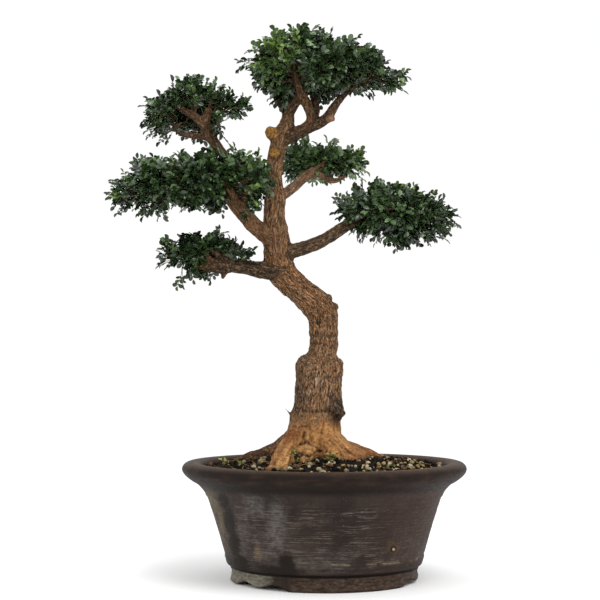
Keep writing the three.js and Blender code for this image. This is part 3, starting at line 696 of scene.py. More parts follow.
# Gnarled twigs that show at the two lower pads on the left
LOW_TWIGS = [
    [(-96, -42, 466, 4.5), (-118, -50, 453, 3.6), (-140, -52, 447, 2.8), (-154, -50, 447, 2)],
    [(-80, -12, 376, 5.6), (-91, -16, 369, 4.8), (-99, -18, 363, 3.2)],
    [(-66, -10, 372, 5), (-72, -13, 364, 3.8), (-74, -15, 357, 2.4)],
    [(-108, -44, 472, 4), (-124, -64, 481, 3), (-136, -77, 486, 2.2), (-143, -80, 490, 1.4)],
    [(-118, -58, 478, 2.6), (-126, -76, 485, 2), (-124, -82, 492, 1.3)],
    [(-84, -14, 376, 5.5), (-92, -22, 384, 3.8), (-97, -26, 392, 2.6)],
]
# Smaller growths: callus on the stump's two shoulders, a spur, the swelling round the leader's upper
# cut, and then the knobs and lesser roots in front
GROWTHS = [
    [(60, -6, 262, 5), (66, -8, 258, 5), (68, -8, 254, 4)],
    [(18, -6, 261, 6), (23, -5, 258, 8), (24, -4, 250, 8)],
    [(10, 0, 193, 3), (4, -6, 200, 1.6), (0, -8, 205, 1)],
    [(-12, -6, 533, 8), (-17, -9, 534, 8.6), (-20.5, -10, 534, 7.4), (-23, -11, 534, 4)],
    [(-4, -84, 138, 9), (-16, -98, 133, 7.5), (-25, -108, 126, 5)],
    [(-2, -88, 137, 9), (5, -102, 132, 7), (9, -112, 125, 4.5)],
    [(20, -52, 148, 7), (22, -66, 140, 6), (21, -82, 134, 5), (20, -92, 126, 3.5)],
    [(44, -4, 174, 16), (64, -14, 154, 14.5), (88, -18, 142, 11), (110, -18, 134, 7.5), (128, -15, 124, 4)],
    [(40, -12, 172, 15), (58, -34, 151, 12.5), (72, -50, 139, 9.5), (86, -62, 127, 5)],
    [(46, -8, 172, 15), (74, -30, 147, 12), (98, -34, 136, 9), (118, -36, 125, 5)],
]
# Kinds of limb, how many sides each is drawn with, and how strongly it is ribbed
ON_STUMP, ON_LEADER, ON_BRANCH, ON_ROOT, ON_STUB = range(5)
SIDES = (40, 40, 18, 26, 18)
RIBS = (0.022, 0.02, 0.03, 0.03, 0.05)
limbs = [(ON_STUMP, STUMP), (ON_LEADER, LEADER)]
limbs += [(ON_BRANCH, rows) for pad in BRANCHES.values() for rows in pad]
limbs += [(ON_BRANCH, rows) for rows in LOW_TWIGS]
limbs += [(ON_ROOT, rows) for rows in ROOTS + GROWTHS[4:]]
limbs += [(ON_STUB, rows) for rows in STUBS + GROWTHS[:4]]
tubes = [tube(smooth_run(rows, 2.5), SIDES[kind], RIBS[kind]) for kind, rows in limbs]
# The step of the wood's skin in metres: a finer one would have too many triangles
SKIN_STEP = 0.00152
wood = shaped("trunk_branches_roots", *together(tubes))
remesh = wood.modifiers.new("one_skin", "REMESH")
remesh.mode = "VOXEL"
remesh.voxel_size = SKIN_STEP
bpy.context.view_layer.update()
grown = wood.evaluated_get(bpy.context.evaluated_depsgraph_get()).data
skin = np.empty(len(grown.vertices) * 3)
grown.vertices.foreach_get("co", skin)
skin = skin.reshape(-1, 3) * 1000
pairs = np.empty(len(grown.edges) * 2, int)
grown.edges.foreach_get("vertices", pairs)
pairs = pairs.reshape(-1, 2)
skin_faces = [tuple(face.vertices) for face in grown.polygons]
neighbours = np.bincount(pairs.ravel(), minlength=len(skin))[:, None]


def relaxed(values, strength):
    """Each value moved towards the mean of its neighbours on the skin"""
    total = np.zeros_like(values)
    np.add.at(total, pairs[:, 0], values[pairs[:, 1]])
    np.add.at(total, pairs[:, 1], values[pairs[:, 0]])
    return values + strength * (total / neighbours - values)


for _ in range(9):
    skin = relaxed(skin, 0.6)

# Where each point of the skin lies on its limb: round it and along it
nearest = np.full(len(skin), 1e9)
grain = np.zeros((len(skin), 3))
size_here = np.ones(len(skin))
kind_here = np.zeros(len(skin), int)
limb_here = np.zeros(len(skin), int)
for number, (kind, rows) in enumerate(limbs):
    run = smooth_run(rows, 2.0)
    ahead, side, other = frames_along(run)
    margin = run[:, 3].max()
    low, high = run[:, :3].min(0) - margin - 9, run[:, :3].max(0) + margin + 9
    close = np.nonzero(((skin > low) & (skin < high)).all(1))[0]
    for part in np.array_split(close, max(1, len(close) // 4000)):
        away = skin[part][:, None] - run[None, :, :3]
        gap = np.linalg.norm(away, axis=2) - run[None, :, 3]
        i = gap.argmin(1)
        gap, away = gap[np.arange(len(part)), i], away[np.arange(len(part)), i]
        closer = gap < nearest[part]
        chosen, i, away = part[closer], i[closer], away[closer]
        nearest[chosen] = gap[closer]
        kind_here[chosen] = kind
        limb_here[chosen] = number
        size_here[chosen] = run[i, 3]
        grain[chosen] = np.column_stack([(away * side[i]).sum(1), (away * other[i]).sum(1),
                                         2.0 * i + (away * ahead[i]).sum(1) + 90 * number])


def cracks(points, size, salt):
    """Worn plates: 0 in the cracks between scattered centres, rising to about 1 on the plates"""
    where = points / np.array(size)
    cells = np.floor(where).astype(np.int64)
    first, second = np.full(len(where), 9.0), np.full(len(where), 9.0)
    for offset in product((-1, 0, 1), repeat=3):
        cell = cells + np.array(offset)
        centre = cell + np.stack([chance(cell, salt + k) for k in range(3)], -1)
        gap = np.linalg.norm(centre - where, axis=1)
        second = np.minimum(second, np.maximum(first, gap))
        first = np.minimum(first, gap)
    return share((second - first) / 0.42)


def pigment(*shade):
    """A colour as the eye names it, as three linear numbers"""
    return np.array(paint(*shade)[:3])


def near(place, reach):
    """1 at a place on the skin, fading to 0 at that reach, in millimetres"""
    return share(1 - np.linalg.norm((skin - np.array(place)) / np.array(reach), axis=1))


# Where smooth root ends and plated bark begins, the plates of each kind of bark, and their relief
soft_edge = 3.2 * lumps(skin, 8, 31)
rooted = share((200 + 0.10 * (skin[:, 0] - 35) + 2 * soft_edge - skin[:, 2]) / 20) ** 0.8
barked = 1 - rooted
wobble = grain + 2.2 * np.stack([lumps(grain, 7, 32 + k) for k in range(3)], -1)
coarse = cracks(wobble, (4.2, 4.2, 24), 41)
netted = cracks(wobble, (4.0, 4.0, 13), 44)
tiny = cracks(wobble, (3.4, 3.4, 17), 47)
ridged = cracks(wobble, (3.9, 3.9, 24), 50)
upper = share((skin[:, 2] - 395) / 30)
kinds = [kind_here == ON_STUMP, kind_here == ON_LEADER, kind_here == ON_BRANCH]
plate = np.select(kinds[:2], [coarse, netted * (1 - upper) + ridged * upper], tiny)
depth = np.select(kinds, [1.6, 1.35, 0.9], 0.8)
depth = depth * np.clip(size_here / 9, 0.25, 1)
wrinkle = lumps(grain, 3.4, 53, (1, 1, 5)) + 0.6 * lumps(grain, 2.2, 54, (2.5, 2.5, 0.8))
relief = barked * depth * (plate ** 0.8 - 0.6) + 0.34 * rooted * wrinkle
relief += np.clip(size_here / 14, 0.1, 1) * (0.9 * lumps(skin, 15, 55) + 0.55 * lumps(skin, 6, 56))
relief -= 5.5 * near((15, -52, 148), (7, 12, 6)) + 3 * near((40, -18, 306), (4, 9, 3.5))
# Old lines round the stump and the leader: height, where each starts and ends across, and its slope
OLD_LINES = [(240.6, 44, 72, 0.0), (224.5, 58, 74, 0.05), (200.5, 18, 66, -0.02), (289, 30, 66, 0.0)]
crease = np.zeros(len(skin))
for level, start, end, slope in OLD_LINES:
    line = np.exp(-((skin[:, 2] - level - slope * (skin[:, 0] - 40) - 0.8 * lumps(skin, 9, 57)) / 1.3) ** 2)
    crease = np.maximum(crease, line * share((skin[:, 0] - start) / 4) * share((end - skin[:, 0]) / 4)
                        * (skin[:, 1] < 2) * (kind_here <= ON_LEADER))
relief -= 1.1 * crease
# Crevices in front between the roots, sunk into the skin and painted dark as shade, as places across and up
CREVICES = [
    [(14, 148), (14, 160), (20, 163), (28, 165), (32, 161), (37, 159), (42, 154), (48, 153)],
    [(14, 150), (22, 152), (31, 150), (38, 154)],
    [(-14, 133), (-9, 136), (-3, 137), (4, 135), (7, 139), (9, 150), (13, 160)],
    [(26, 149), (26, 141), (24, 134), (23, 126)],
    [(24, 176), (23, 170), (25, 165)],
]
in_front = (skin[:, 1] < -12) & (skin[:, 2] < 186)
crevice = np.zeros(len(skin))
seen = skin[:, [0, 2]]
shaken = seen + 0.8 * lumps(skin, 4, 69)[:, None]
for line in CREVICES:
    for start, end in zip(np.array(line, float)[:-1], np.array(line, float)[1:]):
        ahead = end - start
        t = share(((seen - start) @ ahead) / (ahead @ ahead))
        gap = np.linalg.norm(shaken - start - t[:, None] * ahead, axis=1)
        crevice = np.maximum(crevice, np.exp(-(gap / 1.25) ** 2) * in_front)
crevice *= share(0.8 + 0.7 * lumps(skin, 3.5, 79))
relief -= 3.2 * crevice
relief += 3.0 * near((27, -50, 157), (14, 26, 8.5)) ** 0.6 * rooted
# Flaked and stranded roots, the burl, an old scar on the leader and one on the middle left limb
chips = cracks(skin, (9, 9, 7), 76)
relief += rooted * share((165 - skin[:, 2]) / 12) * 1.5 * (share(2 * chips) ** 0.7 - 0.8) * in_front
strand = cracks(grain + 2.5 * np.stack([lumps(grain, 9, 70 + k) for k in range(3)], -1), (7, 7, 46), 73)
relief += rooted * 1.1 * (share(strand * 1.6) ** 0.7 - 0.8)
knot = share(2.4 * near((64, -20, 202), (19, 30, 20)))
relief += knot * 2.6 * lumps(skin, 4.5, 58)
scar = np.linalg.norm(skin - np.array([-12, -13, 509]), axis=1)
relief += 1.1 * np.exp(-((scar - 6.2) / 1.6) ** 2) - 0.8 * share(1 - scar / 5)
lens = np.linalg.norm((skin - np.array([-38, -22, 431])) / np.array([1, 1, 1.1]), axis=1)
relief += 0.7 * np.exp(-((lens - 7) / 1.7) ** 2)

smooth_skin = bpy.data.meshes.new("smooth_skin")
smooth_skin.from_pydata((skin / 1000).tolist(), [], skin_faces)
normals = np.empty(len(skin) * 3)
smooth_skin.vertex_normals.foreach_get("vector", normals)
skin_out = skin + relief[:, None] * normals.reshape(-1, 3)
skin_out = 0.75 * skin_out + 0.25 * relaxed(skin_out, 1.0)
bpy.data.objects.remove(wood)
wood = shaped("trunk_branches_roots", skin_out, skin_faces)
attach(wood, "root")
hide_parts("trunk_and_branches")

TINTS = {
    "foliage_lower_left": (60, 43, 30), "foliage_middle_left": (140, 98, 62), "foliage_right": (70, 53, 38),
    "foliage_back": (156, 121, 93), "foliage_upper_left": (114, 83, 59), "foliage_top": (70, 47, 28),
}
limb_tints = [(194, 140, 96), (160, 112, 72)] + [TINTS[name] for name, pad in BRANCHES.items() for _ in pad]
limb_tints += [(92, 60, 42)] * len(LOW_TWIGS)
limb_tints += [(118, 90, 62)] * len(ROOTS + GROWTHS[4:]) + [(130, 98, 68)] * len(STUBS + GROWTHS[:4])
colour = np.array([pigment(*tint) for tint in limb_tints])[limb_here]
colour += (pigment(156, 113, 76) - colour) * (upper * (kind_here == ON_LEADER))[:, None]


def wash(amount, *shade):
    """Lays a colour over the wood's tint, as strongly as amount says"""
    amount = share(amount)[:, None]
    colour[:] = colour * (1 - amount) + pigment(*shade) * amount


# Bark: pale plates with painted highlight, dark cracks with painted shade, broad stains, and painted shade
# on the stump's left
rough = barked * np.select(kinds, [1.0, 0.9, 0.6], 0.5)
# Pale plate faces: partly their own paler bark, partly painted highlight, greyest on the stump's front
bright = rough * share((plate - 0.5) * 2.4) * share(0.55 + 0.9 * lumps(grain, 3.2, 61, (1, 1, 4)))
wash(bright * 0.85 * (kind_here == ON_STUMP), 220, 180, 138)
wash(bright * 1.3 * near((38, -28, 212), (30, 30, 40)) * (kind_here == ON_STUMP), 222, 208, 188)
colour *= 1 + 1.15 * (bright * (kind_here != ON_STUMP))[:, None]
# Dark cracks between the plates: their own dark colour, deepened with painted shade
wash(rough * np.where(kind_here == ON_BRANCH, 0.65, 0.9) * share(1 - plate / 0.3), 32, 20, 12)
wash(0.45 * share(lumps(skin, 30, 62) + 0.1) * barked, 132, 92, 54)
# Painted shade: the stump darker down its left side, away from the light
wash(0.75 * share((33 - skin[:, 0]) / 17) * (kind_here == ON_STUMP) * barked, 62, 47, 35)
wash(0.35 * share(-0.2 + lumps(skin, 20, 63)) * barked, 92, 84, 70)
# Roots: ochre, redder to the right, darker at the soil, with painted shade in their grooves and on the left
# behind, and painted highlights on their ridges
rust = share((skin[:, 0] - 58) / 40)
root_tone = share(0.5 + 0.55 * lumps(grain, 9, 64, (1, 1, 3)))[:, None]
root_colour = pigment(158, 104, 54) * (1 - root_tone) + pigment(214, 160, 98) * root_tone
root_colour = root_colour * (1 - 0.8 * rust[:, None]) + pigment(128, 72, 28) * 0.8 * rust[:, None]
colour = colour * (1 - rooted[:, None]) + root_colour * rooted[:, None]
wash(rooted * 0.75 * share(1 - strand / 0.3), 84, 48, 22)
# Painted shade in the roots' grooves, then painted highlight on their ridges
wash(rooted * 0.9 * share(-0.2 - wrinkle), 84, 52, 26)
wash(rooted * 0.8 * share(wrinkle - 0.35), 232, 184, 124)
wash(rooted * 0.6 * share(lumps(skin, 14, 67) - 0.1), 112, 70, 34)
# Painted shade: the roots on the left behind darkened
wash(rooted * share((skin[:, 1] + 6) / 18) * share((22 - skin[:, 0]) / 16) * 0.95, 62, 38, 24)
wash(0.9 * share(1 - np.abs(skin[:, 2] - ground(skin[:, 0], skin[:, 1]) - 0.5) / 4) * rooted, 78, 58, 38)
# Old lines, the burl, the pale knobs, the crevices in front and the two hollows, the last two darkened as
# painted shade
wash(crease * 0.85, 44, 31, 22)
wash(knot * share(0.75 + 0.5 * lumps(skin, 4, 65)), 40, 30, 26)
wash(near((27, -50, 158), (13, 30, 7.5)) * np.clip(0.9 + 0.9 * lumps(skin, 5, 77), 0, 1.2), 200, 152, 98)
wash(near((24, -70, 139), (7, 30, 9)) * 1.2, 214, 184, 132)
# Painted shade in the crevices between the roots
wash(crevice * 1.2, 34, 20, 12)
# Painted shade: the hollow beside the knob darkened almost to black
wash(near((15, -52, 148), (9, 16, 7)) * 3, 26, 18, 13)
shoulder = skin[:, 2] - 183 + 0.002 * (skin[:, 0] - 22) ** 2 - lumps(skin, 10, 68)
shoulder = np.exp(-(shoulder / 1.6) ** 2) * (skin[:, 0] < 32)
wash(shoulder * share((skin[:, 0] - 2) / 6) * (skin[:, 1] < 0) * 0.75, 78, 44, 20)
wash(rooted * 0.65 * near((8, -26, 172), (20, 30, 15)) * 2, 118, 66, 28)
# Painted shade: the small hollow in the leader darkened almost to black
wash(near((40, -18, 306), (4.5, 9, 4)) * 3, 26, 18, 12)
# The ochre faces of the leader's two cuts with their rings, and smaller pale cuts on the branches
rings = np.minimum(scar, np.linalg.norm(skin - np.array([-21, -12, 534]), axis=1))
rings = 0.5 + 0.5 * np.sin(2.1 * rings)
ochre_cuts = share(2.4 * np.maximum.reduce([
    near((-17, -16, 532), (14, 15, 13)), near((-12, -15, 509), (10, 12, 10))]))
wash(ochre_cuts * share(0.8 + 0.8 * lumps(skin, 3.4, 66)), 200, 144, 60)
wash(0.75 * near((27, -17, 546), (11, 11, 11)), 158, 104, 60)
wash(ochre_cuts * rings ** 2 * 0.85, 84, 50, 22)
wash(0.9 * np.exp(-((scar - 7.2) / 1.6) ** 2), 52, 33, 20)
rough = rough * (1 - 0.75 * ochre_cuts)
wash(near((60, -14, 550), (9, 9, 8)) * 2.4, 192, 140, 106)
wash(near((-92, 4, 568), (8, 10, 7)) * 2.4, 170, 130, 88)
wash(near((-12, -12, 494), (8, 9, 12)) * 0.7, 128, 82, 50)
wash(share(1 - np.abs(lens - 4) / 5) * 0.7, 158, 112, 70)
wash(near((40, 36, 484), (14, 14, 10)) * 0.8, 140, 90, 62)
layer = wood.data.color_attributes.new("tint", "FLOAT_COLOR", "POINT")
layer.data.foreach_set("color", np.column_stack([colour, np.ones(len(colour))]).ravel())
written(wood, "grain", grain)
written(wood, "rough", rough)

bark = Finish("bark_and_root_skin", Roughness=0.86, Specular_IOR_Level=0.25)
tint_in = bark.read("tint", "Color")
rough_in = bark.read("rough", "Fac")
# Fine fissures, flakes and fibres that follow each limb's grain
wander = bark.add("TexNoise", {"Vector": bark.where(name="grain"), "Scale": 0.3}, "Color")
wander = bark.vector("MULTIPLY", wander, (3.0, 3.0, 3.0))
wandering = bark.vector("ADD", bark.where(name="grain"), wander)
narrow = bark.vector("MULTIPLY", wandering, (1 / 2.8, 1 / 2.8, 1 / 12))
fissure = bark.span(bark.cells(narrow, 1.0, "DISTANCE_TO_EDGE"), 0.0, 0.13)
flakes = bark.clouds(bark.where(1, 1, 0.4, name="grain"), 0.75, 6.0, 0.7)
fibres = bark.clouds(bark.where(1, 1, 0.14, name="grain"), 1.3, 4.0, 0.6)
bark.tone = tint_in
bark.coat(bark.span(flakes, 0.35, 0.7, 0.0, 0.4), (90, 66, 48), "MULTIPLY")
# Painted highlight: a paler copy of the bark, laid on its flakes and ridges
lit = bark.mix(0.55, tint_in, (236, 198, 154))
bark.coat(bark.times(bark.span(flakes, 0.58, 0.78), rough_in, 0.7), lit)
opened = bark.times(rough_in, bark.calc("SUBTRACT", 1.0, fissure))
bark.coat(bark.times(opened, 0.5), (44, 29, 19))
net = bark.clouds(bark.where(1, 1, 0.2, name="grain"), 0.3, 3.0, 0.55)
dips = bark.clouds(bark.where(1.3, 1.3, 0.24, name="grain"), 0.34, 3.0, 0.55)
ridge = bark.span(bark.calc("ABSOLUTE", bark.calc("SUBTRACT", net, 0.5)), 0.0, 0.05, 1.0, 0.0)
dip = bark.span(bark.calc("ABSOLUTE", bark.calc("SUBTRACT", dips, 0.5)), 0.005, 0.07, 1.0, 0.0)
ridge, dip = bark.times(ridge, rough_in), bark.times(dip, rough_in)
# Painted shade in the dips between the ridges
bark.coat(bark.times(dip, 0.92), (34, 21, 13))
bark.coat(bark.times(ridge, 0.7), lit)
bark.coat(bark.span(fibres, 0.4, 0.7, 0.0, 0.45), (112, 84, 60), "MULTIPLY")
grains = bark.clouds(bark.where(), 330, 5.0, 0.7)
bark.coat(bark.times(bark.span(grains, 0.52, 0.68), 0.35), (222, 176, 120))
bark.coat(bark.span(grains, 0.48, 0.32, 0.0, 0.5), (96, 62, 38), "MULTIPLY")
bark.colour(bark.tone)
rooty = bark.calc("SUBTRACT", 1.0, rough_in)
bark.emboss(bark.times(grains, rooty), 0.8, 1.4)
bark.emboss(flakes, 0.9, 0.9)
bark.emboss(fibres, 0.5, 0.4)
bark.emboss(bark.times(fissure, rough_in), 0.7, 0.7)
bark.emboss(bark.calc("SUBTRACT", ridge, dip), 1.0, 1.4)
wood.data.materials.append(bark.material)


# Foliage: six pads kept in trim by pinching. Fine twigs fan out from each branch end; every shoot
# bears small pinnate leaves of five to seven glossy, round-tipped leaflets.

# Of each pad: its middle and how many shoots it has, how much lighter its leaves are painted, on the back
# pad as painted light against the shade of the pads in front, where its fresh growth is, the gaps that
# show wood (x, the front limit, height, half width, half height), the longer sprigs' ends, and the round
# lobes that make its shape (place and reach)
PADS = {
    "foliage_top": dict(
        middle=(40, 0, 612), shoots=345, lift=0.06, fresh=(-4, 632, 26, 26),
        bare=[(21, -14, 578, 9, 12), (13, -14, 599, 9, 15), (17, 0, 558, 9, 12), (44, 0, 560, 12, 8)],
        sprigs=[(-64, -10, 617), (-51, -8, 634), (-26, -14, 584), (-17, -18, 566), (96, -10, 646),
                (134, -8, 613), (154, -10, 599), (151, -6, 588), (120, -16, 580), (18, 6, 668)],
        lobes=[(-2, -6, 614, 40, 36, 45), (43, 0, 621, 43, 44, 38), (88, 2, 611, 35, 40, 34),
               (124, -4, 599, 26, 26, 17), (19, 4, 643, 31, 34, 27), (55, 26, 592, 30, 26, 20),
               (40, -44, 608, 46, 28, 25), (34, 42, 612, 50, 34, 29)],
    ),
    "foliage_upper_left": dict(
        middle=(-112, 18, 566), shoots=160, lift=-0.05, fresh=(-150, 560, 8, 8),
        bare=[(-93, 30, 531, 13, 17), (-100, 24, 551, 17, 14), (-117, 20, 562, 19, 10),
              (-112, 30, 535, 14, 5), (-92, 18, 565, 11, 13), (-124, 200, 588, 4, 3)],
        sprigs=[(-172, 6, 536), (-179, 8, 544), (-157, 10, 526), (-64, 8, 526), (-33, 8, 566),
                (-44, 12, 561), (-124, 14, 612), (-66, 10, 594)],
        lobes=[(-145, 12, 559, 31, 28, 28), (-117, 20, 583, 30, 32, 31), (-86, 14, 571, 28, 28, 22),
               (-56, 14, 569, 19, 18, 12), (-104, -4, 556, 28, 26, 22), (-108, 46, 556, 34, 28, 26)],
    ),
    "foliage_middle_left": dict(
        middle=(-108, -42, 472), shoots=295, lift=0.0, fresh=(-44, 500, 24, 10),
        bare=[(-57, -20, 450, 12, 12), (-3, 0, 460, 18, 60), (-135, -64, 486, 10, 6),
              (-90, 200, 433, 11, 9), (-11, 0, 509, 9, 8)],
        sprigs=[(-205, -36, 440), (-212, -34, 450), (-190, -30, 488), (-178, -38, 433),
                (-160, -40, 431), (-112, -44, 436), (-73, -52, 433), (-63, -54, 436), (-32, -48, 430),
                (-26, -44, 446), (-23, -44, 435), (-22, -42, 452), (-40, -44, 503), (-24, -40, 496)],
        lobes=[(-180, -42, 460, 27, 28, 23), (-151, -44, 470, 33, 34, 33), (-110, -40, 473, 38, 36, 37),
               (-69, -50, 475, 35, 36, 35), (-36, -46, 471, 26, 28, 35), (-130, -4, 468, 40, 32, 28),
               (-88, 4, 472, 34, 28, 28), (-120, -80, 464, 40, 28, 27)],
    ),
    "foliage_lower_left": dict(
        middle=(-98, -10, 387), shoots=118, lift=-0.02, fresh=(-136, 398, 8, 5),
        bare=[(-56, -2, 368, 40, 11), (-84, -6, 376, 17, 15), (2, 4, 385, 26, 40),
              (-121, 200, 371, 8, 5)],
        sprigs=[(-156, -14, 398), (-155, -12, 378), (-138, -16, 353), (-108, -20, 351), (-78, -12, 353),
                (-64, -6, 413), (-60, -16, 392), (-46, -8, 397), (-38, -14, 387), (-34, -14, 384),
                (-27, -12, 381), (-54, -14, 388), (-104, -10, 415)],
        lobes=[(-133, -12, 388, 20, 24, 18), (-107, -16, 391, 26, 30, 23), (-77, -6, 394, 22, 28, 18),
               (-102, -20, 369, 20, 20, 18), (-98, 20, 386, 30, 24, 22), (-100, -38, 387, 26, 24, 20)],
    ),
    "foliage_back": dict(
        middle=(46, 50, 506), shoots=108, lift=0.36, fresh=(76, 516, 12, 8),
        bare=[(22, 30, 482, 18, 14), (46, 34, 496, 12, 18)],
        sprigs=[(-6, 44, 484), (102, 42, 488), (8, 46, 532), (74, 44, 531), (102, 42, 508)],
        lobes=[(15, 50, 507, 25, 26, 25), (49, 46, 506, 30, 32, 22), (83, 46, 504, 22, 26, 20),
               (46, 74, 502, 34, 26, 22)],
    ),
    "foliage_right": dict(
        middle=(134, -10, 435), shoots=235, lift=0.02, fresh=(150, 458, 14, 6),
        bare=[(70, -10, 419, 14, 11)],
        sprigs=[(53, -14, 438), (214, -10, 430), (134, -16, 389), (184, -14, 409), (120, -8, 478),
                (174, -10, 461), (93, -12, 470)],
        lobes=[(81, -14, 440, 21, 26, 27), (108, -8, 437, 32, 34, 36), (140, -14, 431, 36, 36, 41),
               (174, -10, 429, 29, 30, 30), (194, -12, 433, 17, 16, 11), (128, 26, 438, 40, 28, 26),
               (130, -46, 436, 40, 26, 25)],
    ),
}
# A leaflet's outline, as share of its length, share of its half width, and how far it cups
LEAFLET = np.array([
    (0, 0, 0), (0.22, -0.62, 0.3), (0.22, 0, 0), (0.22, 0.62, 0.3), (0.55, -1, 0.5), (0.55, 0, 0),
    (0.55, 1, 0.5), (0.85, -0.72, 0.3), (0.87, 0, -0.1), (0.85, 0.72, 0.3), (1, 0, -0.2),
])
LEAFLET_FACES = [
    (0, 2, 1), (0, 3, 2), (1, 2, 5, 4), (2, 3, 6, 5), (4, 5, 8, 7), (5, 6, 9, 8), (7, 8, 10), (8, 9, 10),
]


def unit(vectors):
    """Vectors brought to a length of 1"""
    return vectors / np.maximum(np.linalg.norm(vectors, axis=-1, keepdims=True), 1e-9)


def reach_of(lobes, middle, directions):
    """How far a pad's outline lies from its middle along each direction"""
    reach = np.zeros(len(directions))
    for lobe in np.array(lobes, float):
        start, step = (np.array(middle) - lobe[:3]) / lobe[3:], directions / lobe[3:]
        square, half = (step ** 2).sum(1), step @ start
        root = half ** 2 - square * (start @ start - 1)
        reach = np.maximum(reach, np.where(root > 0, (np.sqrt(np.maximum(root, 0)) - half) / square, 0))
    return reach


def within(lobes, point, slack):
    """Whether a point lies in a pad, with its outline drawn in by that much"""
    lobes = np.array(lobes, float)
    return bool(((((point - lobes[:, :3]) / (lobes[:, 3:] - slack)) ** 2).sum(1) < 1).any())


def leaflet_mesh(feet, along, up, lengths, tones, rng):
    """Many leaflets at once, each folded along its rib: points, faces, and what the finish reads"""
    side = unit(np.cross(up, along))
    face = np.cross(along, side)
    widths = lengths * rng.uniform(0.29, 0.37, len(lengths))
    curl = rng.uniform(-0.05, 0.28, len(lengths))
    t, w, cup = LEAFLET.T
    points = (feet[:, None] + along[:, None] * (t * lengths[:, None])[..., None]
              + side[:, None] * (w * widths[:, None])[..., None]
              + face[:, None] * (cup * widths[:, None]
                                 - curl[:, None] * t ** 2 * lengths[:, None])[..., None])
    faces = [tuple(k * len(LEAFLET) + corner for corner in face)
             for k in range(len(feet)) for face in LEAFLET_FACES]
    reads = np.stack([np.tile(t, (len(feet), 1)), np.tile(np.abs(w), (len(feet), 1)),
                      np.repeat(tones[:, None], len(LEAFLET), 1)], -1)
    return points.reshape(-1, 3), faces, reads.reshape(-1, 3)


leafy = Finish("glossy_pepper_leaf", Specular_IOR_Level=0.6)
reads = leafy.read("leaf", "Vector")
ribwise, tone = leafy.axis(reads, "Y"), leafy.axis(reads, "Z")
blotch = leafy.clouds(leafy.where(), 160, 3.0)
leafy.tone = leafy.mix(leafy.span(tone, 0.0, 0.55), (14, 25, 11), (42, 64, 31))
leafy.coat(leafy.span(tone, 0.5, 0.85), (98, 124, 76))
leafy.coat(leafy.span(tone, 0.88, 0.97), (112, 138, 54))
leafy.coat(leafy.span(blotch, 0.4, 0.7, 0.0, 0.35), (36, 58, 40))
leafy.coat(leafy.span(ribwise, 0.0, 0.16, 0.35, 0.0), (120, 138, 88))
leafy.colour(leafy.tone)
leafy.roughness(leafy.span(blotch, 0.3, 0.7, 0.14, 0.3))
leafy.emboss(leafy.clouds(leafy.where(), 900, 2.0), 0.3, 0.15)
leafy.emboss(leafy.span(ribwise, 0.0, 0.2), 0.4, 0.2)

twiggy = Finish("twig_bark", Roughness=0.85, Specular_IOR_Level=0.25)
knobs = twiggy.clouds(twiggy.where(), 420, 4.0)
twiggy.colour(twiggy.mix(twiggy.span(knobs, 0.35, 0.7), (58, 44, 33), (112, 88, 62)))
twiggy.emboss(knobs, 0.8, 0.4)

GOLDEN = math.pi * (3 - math.sqrt(5))
DOWN = np.array([0, 0, -1.0])
# Where leaflets sit on a leaf: share of its length, and left, right or at the end
STATIONS = [(0.25, 1), (0.25, -1), (0.55, 1), (0.55, -1), (0.84, 1), (0.84, -1), (1, 0)]
LEAFLET_LENGTHS = (5.6, 8.8)
# Leaves on each shoot, the length of its end that bears them, and how many shoots are fresh growth
SHOOT_LEAVES = 6
LEAFY_END = 24
FRESH_HERE = 0.55
FRESH_ELSEWHERE = 0.012


def in_the_way(point, bare):
    """Whether a leaf there would hide the wood that shows in front of a pad"""
    return any(((point[0] - x) / half_x) ** 2 + ((point[2] - z) / half_z) ** 2 < 1 and point[1] < y
               for x, y, z, half_x, half_z in bare)


